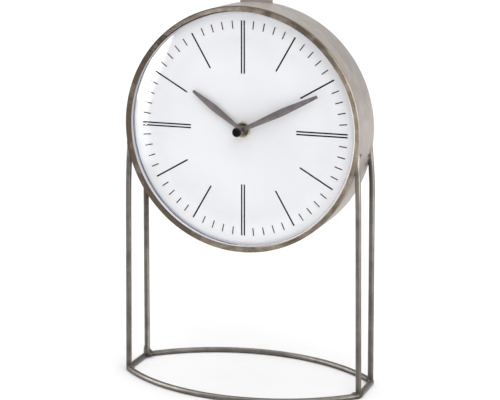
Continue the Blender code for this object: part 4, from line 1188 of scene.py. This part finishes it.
def base_hoop():
    """One rod bent round: two short straight sides, four corners and two long bows, flattened below by
    wear.
    """
    turn = pi / 2 - BASE_ARC_HALF_ANGLE
    corner_x = FOOT_X - BASE_CORNER_RADIUS * cos(turn / 2)
    corner_y = LEG_LINE - BASE_CORNER_RADIUS * sin(turn / 2)
    bow_end_x = corner_x + BASE_CORNER_RADIUS * cos(turn)
    bow_end_y = corner_y + BASE_CORNER_RADIUS * sin(turn)
    bow_radius = bow_end_x / sin(BASE_ARC_HALF_ANGLE)
    bow_centre = bow_radius * cos(BASE_ARC_HALF_ANGLE) - bow_end_y
    start = (corner_x + BASE_CORNER_RADIUS, -corner_y, BASE_HEIGHT)
    hoop = rod_start("base_hoop", start, (0, 1, 0))
    for side in (1, -1):
        for _ in range(STRAIGHT_STEPS):
            draw_out(0, side * corner_y * 2 / STRAIGHT_STEPS, 0)
        for steps, angle, x, y in (
            (CORNER_STEPS, turn, side * corner_x, side * corner_y),
            (BOW_STEPS, 2 * BASE_ARC_HALF_ANGLE, 0, -side * bow_centre),
            (CORNER_STEPS, turn, -side * corner_x, side * corner_y),
        ):
            bpy.ops.mesh.spin(steps=steps, angle=-angle, center=(x, y, BASE_HEIGHT), axis=(0, 0, 1))
    tidy_mesh(hoop, 0.000005)
    edit(hoop)
    bpy.ops.mesh.bisect(plane_co=(0, 0, 0), plane_no=(0, 0, 1), clear_inner=True, use_fill=True)
    tidy_mesh(hoop)
    dressed(hoop, "rod_metal", "rod", "base_ring", angle=HOOP_SHARP)


def leg(side, end, name, node_name):
    """A leg: straight and a little splayed, then leaning in, with its top shaped to the drum."""
    y = end * LEG_LINE
    foot_x, knee_x, knee_height = (FOOT_X, *FRONT_KNEE)
    if end > 0:
        foot_x, knee_x, knee_height = (FOOT_X - REAR_FOOT_INSET, *REAR_KNEE)
    foot = Vector((foot_x * side, y, 0.0))
    knee = Vector((knee_x * side, y, knee_height))
    top = Vector((LEG_TOP_X * side, y, LEG_TOP_HEIGHT))
    down = (foot - knee).normalized()
    up = (top - knee).normalized()
    here = foot - down * (BASE_HEIGHT / abs(down.z))
    first, last = knee + down * KNEE_BLEND, knee + up * KNEE_BLEND
    stations = [first]
    for i in range(1, KNEE_STEPS):
        share = i / KNEE_STEPS
        stations.append(first * (1 - share) ** 2 + knee * 2 * share * (1 - share) + last * share**2)
    rod = rod_start(name, here, -down)
    for place in [*stations, last, top]:
        draw_out(*(place - here))
        here = place
    close_ends()
    tidy_mesh(rod)
    for (x, out, height), size, uneven in BEADS:
        weld(rod, (x * side, y + out * end, height), size, uneven)
    if (side, end) == (-1, 1):
        add(rod, foot_flare(-FOOT_X, y))
    cut(rod, drum_space())
    dressed(rod, "rod_metal", "rod", node_name)


def foot_flare(x, y):
    """A foot's weld that has run out in a low cone, most of it towards the middle of the stand."""
    radius, height, run = FLARE[0]
    piece = circle("foot_flare", ROD_STEPS, radius, (x + run, y, height))
    for wider, lower, further in FLARE[1:]:
        draw_out(further - run, 0, lower - height)
        share = wider / radius
        resize(share, share, (x + further, y, lower))
        radius, height, run = wider, lower, further
    close_ends()
    return tidy_mesh(piece)


def weld(rod, place, size, uneven):
    """Adds a small hand-ground weld bead to a leg: a rounded lump with an uneven skin."""
    let_go()
    bpy.ops.mesh.primitive_ico_sphere_add(subdivisions=4, radius=1)
    bead = new_piece("bead")
    bead.scale = size
    bead.location = place
    put_in_mesh(bead)
    skin = bpy.data.textures.new("bead_skin", "CLOUDS")
    skin.noise_scale = size[1] * 0.7
    displace = bead.modifiers.new("uneven_skin", "DISPLACE")
    displace.texture = skin
    displace.strength = uneven
    displace.mid_level = 0.6
    displace.texture_coords = "LOCAL"
    bpy.ops.object.modifier_apply(modifier=displace.name)
    bpy.data.textures.remove(skin)
    add(rod, bead)


def drum_space():
    """The room that the drum takes up, which the pieces that meet it are cut to."""
    wide = CASE_RADIUS + DRUM_CLEARANCE
    return stand_up(turned("drum_space", [(wide, depth) for depth in DRUM_SPACE]))


def stand():
    base_hoop()
    for end_name, end in (("front", -1), ("rear", 1)):
        for side_name, side in (("left", -1), ("right", 1)):
            leg(side, end, f"stand_rod_{end_name}_{side_name}", f"leg_{end_name}_{side_name}")


# Back

def hanger():
    """The tab on top of the drum, with a round end and a hole."""
    low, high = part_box("hanger_tab")
    half, thickness = (high.x - low.x) / 2, high.y - low.y
    shoulder = high.z - half
    upright = (pi / 2, 0, 0)
    tab = circle("hanging_tab", DISC_STEPS, half, (0, high.y, shoulder), upright, "NGON")
    draw_out(0, -thickness, 0)
    tidy_mesh(tab)
    bpy.ops.mesh.primitive_cube_add(size=1, location=(0, high.y - thickness / 2, shoulder - half))
    add(tab, stretched("tab_neck", (2 * half, thickness, 2 * half)))
    bpy.ops.mesh.primitive_cylinder_add(
        vertices=48, radius=TAB_HOLE_RADIUS, depth=0.02, location=(0, high.y, shoulder), rotation=upright
    )
    cut(tab, put_in_mesh(new_piece("tab_hole")))
    cut(tab, drum_space())
    soften(tab, TAB_EDGE, 3)
    dressed(tab, "case_metal", "case_side", "hanger_tab")


def block(name, low, high):
    """A box between two (x, depth, z) corners, with z measured from the dial's centre."""
    let_go()
    x, depth, z = [(a + b) / 2 for a, b in zip(low, high)]
    bpy.ops.mesh.primitive_cube_add(size=1, location=(x, FACE_Y + depth, AXIS_HEIGHT + z))
    return stretched(name, [b - a for a, b in zip(low, high)])


def rounded_block(name, low, high, radius):
    """A block whose edges from front to back are rounded."""
    piece = block(name, low, high)

    def from_front_to_back(line):
        first, last = [piece.data.vertices[i].co for i in line.vertices]
        return abs(last.y - first.y) > 0.9 * (last - first).length

    edit(piece)
    pick(piece, "EDGE", from_front_to_back)
    bpy.ops.mesh.bevel(offset=radius, offset_type="OFFSET", segments=5, affect="EDGES", profile=0.5)
    return tidy_mesh(piece)


def disc(name, radius, front, rear, x, z, steps=32):
    """A round plate that lies parallel to the dial."""
    return stand_up(turned(name, [(radius, front), (radius, rear)], steps), x, z)


def rear_plate():
    """The pressed rear cover: a turned-in lip, a shallow pressed ring and a rolled outer edge."""
    low, high = depths("rear_cover")
    front, outer = high - COVER_WALL, reach("rear_cover")
    lip, edge, bend, step = WINDOW_RADIUS + COVER_WALL, COVER_EDGE, COVER_BEND, PRESSED_STEP

    def pressed_edge(radius, way):
        """The rounded step down into the pressed ring."""
        steps = ((0, 0), (0.5, 0.2), (1.5, 0.8), (2, 1))
        return [(radius + way * out * step, high - drop * step) for out, drop in steps]

    profile = [
        (WINDOW_RADIUS, low + edge), (WINDOW_RADIUS, high - 0.0009),
        (WINDOW_RADIUS + 0.00025, high - 0.0003), (WINDOW_RADIUS + 0.0009, high),
        *pressed_edge(PRESSED_INNER, 1), *pressed_edge(PRESSED_OUTER, -1)[::-1],
        (outer - 0.0007, high), (outer - edge, high - edge), (outer, high - bend),
        (outer, front + 0.0001), (outer - 0.0001, front),
        (PRESSED_OUTER - step, front), (PRESSED_OUTER - 3 * step, front - step),
        (PRESSED_INNER + 3 * step, front - step), (PRESSED_INNER + step, front),
        (lip + bend, front), (lip, front - bend), (lip, low + edge), (lip - edge, low),
        (WINDOW_RADIUS + edge, low), (WINDOW_RADIUS, low + edge),
    ]
    plate = stand_up(turned("rear_plate", profile))
    for i in range(1, SCREWS + 1):
        radius, place = SCREW_RADIUS + SCREW_HOLE_ROOM, on_dial(f"cover_screw_{i}")
        cut(plate, disc("screw_hole", radius, low, high + OVERCUT, *place))
    dressed(plate, "case_metal", "back", "rear_cover")


def cover_screws():
    """One pan-head screw, modelled once and copied to its four places."""
    front, rear = depths("cover_screw_1")
    head, head_height, shank = SCREW_HEAD_RADIUS, SCREW_HEAD_HEIGHT, SCREW_RADIUS
    profile = [(SCREW_TIP_RADIUS, front), (shank * 0.8, front + SCREW_TIP_LENGTH)]
    depth = front + 2 * SCREW_PITCH
    while depth < rear - head_height - SCREW_TIP_LENGTH:
        profile += [(shank * 0.82, depth), (shank, depth + SCREW_PITCH / 2)]
        depth += SCREW_PITCH
    profile += [
        (shank, rear - head_height), (head - 0.0001, rear - head_height),
        (head, rear - head_height + 0.0002), (head, rear - 0.6 * head_height),
        (head * 0.93, rear - 0.3 * head_height), (head * 0.78, rear - 0.1 * head_height),
        (head * 0.5, rear),
    ]
    screw = turned("cover_screw", profile, 40)
    bpy.ops.mesh.primitive_cube_add(size=1, location=(0, 0, -rear + SCREW_SLOT_DEPTH / 2 - 0.0002))
    cut(screw, stretched("screw_slot", (0.01, SCREW_SLOT_WIDTH, SCREW_SLOT_DEPTH + 0.0004)))
    for i in range(1, SCREWS + 1):
        twin = stand_up(copied(screw, f"pan_head_screw_{i}"), *on_dial(f"cover_screw_{i}"))
        dressed(twin, "zinc_steel", "zinc", f"cover_screw_{i}")
    bpy.data.objects.remove(screw, do_unlink=True)


def housing():
    """The movement's moulded housing with its battery bay, latches and stiffening ribs."""
    front, rear = depths("movement_case")
    low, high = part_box("movement_case")
    half, bottom, top = high.x, low.z - AXIS_HEIGHT, high.z - AXIS_HEIGHT
    inside, floor, past = half - HOUSING_WALL, front + HOUSING_WALL, rear + 0.01
    bay_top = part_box("movement_cover")[0].z - AXIS_HEIGHT
    case = rounded_block("movement_housing", (-half, front, bottom), (half, rear, top), HOUSING_CORNER)
    cut(case, block("works_room", (-inside, floor, bay_top + HOUSING_WALL), (inside, past, inside)))
    cut(case, block("bay_room", (-inside, floor, bottom + HOUSING_WALL), (inside, past, bay_top)))
    cut(case, disc("bush_room", NUT_BORE, front - 0.01, floor + 0.0002, 0, 0, 48))
    for x in RIBS_X:
        start = (x - RIB_HALF_WIDTH, floor - 0.0001, bottom + 0.001)
        add(case, block("floor_rib", start, (x + RIB_HALF_WIDTH, floor + RIB_HEIGHT, bay_top)))
    for side in (-1, 1):
        for z in LATCHES_Z:
            left, right = sorted((side * (half - 0.0005), side * (half + 0.0002)))
            start, end = (left, rear - LATCH_START, z), (right, rear - LATCH_END, z + LATCH_LENGTH)
            cut(case, block("latch_window", start, end))
    soften(case, HOUSING_EDGE)
    dressed(case, "black_plastic", "black", "movement_case")
    lid(half, bay_top, top)


def lid(half, bottom, top):
    """The housing's lid, with a ring around the knob's shaft, a sunk panel, pin marks and + and -."""
    front, rear = depths("movement_cover")
    shaft, past = on_dial("time_set_knob"), rear + OVERCUT
    cover = rounded_block("movement_lid", (-half, front, bottom), (half, rear, top), HOUSING_CORNER)
    cut(cover, disc("shaft_hole", KNOB_BORE, front - 0.01, rear + 0.01, *shaft))
    inner, outer = KNOB_RING
    groove = tube("knob_ring", outer, inner, rear - KNOB_RING_DEPTH, past, DISC_STEPS, edge=0)
    cut(cover, stand_up(groove, *shaft))
    (left, below), (right, above) = LID_PANEL
    panel = (left, rear - LID_PANEL_DEPTH, below), (right, past, above)
    cut(cover, rounded_block("lid_panel", *panel, LID_PANEL_CORNER))
    for place in PIN_MARKS:
        cut(cover, disc("pin_mark", PIN_MARK_RADIUS, rear - PIN_MARK_DEPTH, past, *place, 24))
    bars = ((POLARITY_LONG, POLARITY_SHORT), (POLARITY_SHORT, POLARITY_LONG))
    for centre_x, shapes in ((POLARITY_X, bars), (-POLARITY_X, bars[:1])):
        for wide, high in shapes:
            start = (centre_x - wide, rear - POLARITY_DEPTH, POLARITY_Z - high)
            cut(cover, block("polarity_bar", start, (centre_x + wide, past, POLARITY_Z + high)))
    soften(cover, LID_EDGE)
    dressed(cover, "black_plastic", "black", "movement_cover")


def knob():
    """The fluted setting knob, with a dished face."""
    front, rear = depths("time_set_knob")
    radius = reach("time_set_knob")
    profile = [
        (radius - 0.0004, front), (radius, front + 0.0004), (radius, rear - 0.0005),
        (radius - 0.0005, rear), (radius - 0.0014, rear), (radius - 0.0020, rear - 0.0005),
    ]
    wheel = turned("setting_knob", profile, KNOB_FLUTES * 6)

    def in_a_flute(corner):
        x, y, _ = corner.co
        return hypot(x, y) > radius - 0.0007 and cos(KNOB_FLUTES * atan2(y, x)) < 0

    edit(wheel)
    pick(wheel, "VERT", in_a_flute)
    shrunk = 1 - KNOB_FLUTE_DEPTH / radius
    resize(shrunk, shrunk, (0, 0, 0))
    let_go()
    cut(wheel, turned("knob_bore", [(KNOB_BORE, front - OVERCUT), (KNOB_BORE, front + 0.003)], 24))
    stand_up(wheel, *on_dial("time_set_knob"))
    dressed(wheel, "black_plastic", "black", "time_set_knob", body="setting_group")


def cell():
    """The battery: a sleeve rolled in at both ends, a tip at the right and a flat base at the left."""
    low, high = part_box("battery")
    half, radius = (high.x - low.x) / 2, (high.z - low.z) / 2
    tip, tip_radius, roll = 0.001, 0.0027, 0.0007
    base = half - tip
    profile = [
        (tip_radius * 0.8, -half), (tip_radius, -half + 0.0002), (tip_radius, -base - 0.0001),
        (radius - 1.6 * roll, -base + 0.0001), (radius - 1.2 * roll, -base - 0.0001),
        (radius - 0.5 * roll, -base), (radius - 0.1 * roll, -base + 0.4 * roll),
        (radius, -base + roll), (radius, half - roll), (radius - 0.1 * roll, half - 0.4 * roll),
        (radius - 0.5 * roll, half - 0.1 * roll), (radius - 1.2 * roll, half),
        (radius - 1.6 * roll, half - 0.0003), (radius * 0.6, half - 0.0003),
    ]
    piece = turned("battery_cell", profile, DISC_STEPS)
    piece.rotation_euler = (0.0, pi / 2, 0.0)
    piece.location = (low + high) / 2
    put_in_mesh(piece)
    dressed(piece, "battery_wrap", "wrap", "battery", body="battery_group")


def contacts():
    """Sprung strips at the battery's ends, each with a foot on the housing's floor."""
    thin = CONTACT_THICKNESS
    for name, side in (("contact_positive", 1), ("contact_negative", -1)):
        low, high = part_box(name)
        if side > 0:
            strip_x, foot_x = (low.x, low.x + thin), (low.x + thin / 2, high.x)
        else:
            strip_x, foot_x = (high.x - thin, high.x), (low.x, high.x - thin / 2)
        z_low, z_high = low.z - AXIS_HEIGHT, high.z - AXIS_HEIGHT
        front, rear = depths(name)
        strip = block(name + "_strip", (strip_x[0], front, z_low), (strip_x[1], rear, z_high))
        start, end = (foot_x[0], front, z_low + thin / 2), (foot_x[1], front + thin, z_high - thin / 2)
        add(strip, block("strip_foot", start, end))
        soften(strip, CONTACT_EDGE)
        dressed(strip, "contact_metal", "contact", name)


# The other nodes keep their shapes

def finish_nodes():
    wheels = ("centre_wheel", "hour_wheel", "intermediate_wheel", "minute_wheel", "seconds_wheel")
    kept = {
        "board": ("dial_backing",),
        "zinc": (*(f"cover_post_{i}" for i in range(1, SCREWS + 1)), "quartz_crystal"),
        "nut": ("minute_arbor",),
        "nylon": (*wheels, "third_wheel", "coil_bobbin"),
        "rubber": ("rubber_washer",),
        "magnet": ("rotor",),
        "iron": ("stator",),
        "copper": ("coil_winding",),
        "circuit": ("circuit_board",),
    }
    for finish, names in kept.items():
        for name in names:
            mesh = frame["nodes"][name].data
            mesh.materials.clear()
            mesh.materials.append(FINISH[finish])


# Studio

def floor_and_sky():
    let_go()
    bpy.ops.mesh.primitive_plane_add(size=30, location=(0, 6, 0))
    floor = put_in_mesh(new_piece("studio_floor"))
    floor.data.materials.append(FINISH["floor"])
    world = bpy.data.worlds.new("soft_studio")
    bpy.context.scene.world = world
    world.use_nodes = True
    tree = world.node_tree
    heading = axes_of(tree.nodes.new("ShaderNodeTexCoord").outputs["Generated"])
    up = between(heading["Z"], 0.0, 1.0, 0.7, 1.0)
    right = between(heading["X"], 0.0, 1.0, 0.7, 0.98)
    tone = blend_colours(up, (0.60, 0.60, 0.61), (3.2, 3.2, 3.23))
    tone = blend_colours(right, tone, (3.6, 3.53, 3.46))
    tree.links.new(tone, tree.nodes["Background"].inputs["Color"])
    tree.nodes["Background"].inputs["Strength"].default_value = 1.0


def new_light(name, kind, lit=None):
    """A light that reaches everything, or only the pieces of one collection."""
    bpy.ops.object.light_add(type=kind)
    light = bpy.context.object
    light.name = name
    if lit:
        light.light_linking.receiver_collection = lit
    if kind == "AREA":
        light.visible_camera = False
    return light


def facing(*direction):
    """The turn of a light that shines from a direction."""
    return Vector(direction).to_track_quat("Z", "Y").to_euler()


def lights():
    """Two soft suns, three cards that the glass alone mirrors, and side light on the rods."""
    for name, energy, angle, turn in (
        ("key_light", 0.6, 30, (50, 0, 35)),
        ("fill_light", 0.08, 40, (60, 0, -50)),
    ):
        lamp = new_light(name, "SUN")
        lamp.rotation_euler = [radians(a) for a in turn]
        lamp.data.energy = energy
        lamp.data.angle = radians(angle)

    lit_glass = bpy.data.collections.new("glass_lit_by_cards")
    lit_glass.objects.link(bpy.data.objects["domed_glass"])
    for name, low, high, edge, lean, radiance in (
        ("upper_card", 0.184, 0.66, -0.362, 23.5, 330.0),
        ("middle_card", 0.10, 0.184, -0.357, 3.4, 60.0),
        ("lower_card", -0.03, 0.10, -0.356, 0.5, 35.0),
    ):
        tilt = Matrix.Rotation(radians(lean), 4, "X") @ Matrix.Rotation(radians(-90), 4, "Y")
        length = (high - low) / cos(radians(lean))
        card = new_light(name, "AREA", lit_glass)
        card.data.shape = "RECTANGLE"
        card.data.size = length
        card.data.size_y = CARD_DEPTH
        card.data.energy = radiance * length * CARD_DEPTH * pi
        place = tilt @ Vector((length / 2, CARD_DEPTH / 2, 0.0))
        card.matrix_world = Matrix.Translation(Vector((CARD_X, edge, low)) + place) @ tilt

    lit_rods = bpy.data.collections.new("rods_lit_from_the_sides")
    for piece in bpy.data.objects:
        if piece.name.startswith("stand_rod") or piece.name == "base_hoop":
            lit_rods.objects.link(piece)
    lamp = new_light("left_side_light", "SUN", lit_rods)
    lamp.rotation_euler = facing(-0.82, -0.25, 0.42)
    lamp.data.energy = 3.0
    lamp.data.angle = radians(46)
    card = new_light("right_side_card", "AREA", lit_rods)
    card.location = (0.60, -0.09, 0.17)
    card.rotation_euler = facing(0.97, -0.2, 0.0)
    card.data.size = SIDE_CARD_SIZE
    card.data.energy = 4.0 * SIDE_CARD_SIZE * SIDE_CARD_SIZE * pi


def camera():
    place = (0.431257, -1.167285, 0.436095)
    bpy.ops.object.camera_add(location=place, rotation=(radians(77.261), 0.0, radians(20.214)))
    made = bpy.context.object
    made.name = "photo_camera"
    made.data.lens = 110.3
    made.data.sensor_width = 36.0
    bpy.context.scene.camera = made
    bpy.context.scene.view_settings.view_transform = "Standard"


FINISH = {**case_metals(), **small_metals(), **other_finishes()}
bezel()
case_drum()
inner_wall()
glass()
dial()
dial_marks()
hand("hour_leaf", "hour_hand", "hour_group")
hand("minute_leaf", "minute_hand", "minute_group")
nut()
bush()
collar_and_cap()
stand()
hanger()
rear_plate()
cover_screws()
housing()
knob()
cell()
contacts()
finish_nodes()
floor_and_sky()
lights()
camera()
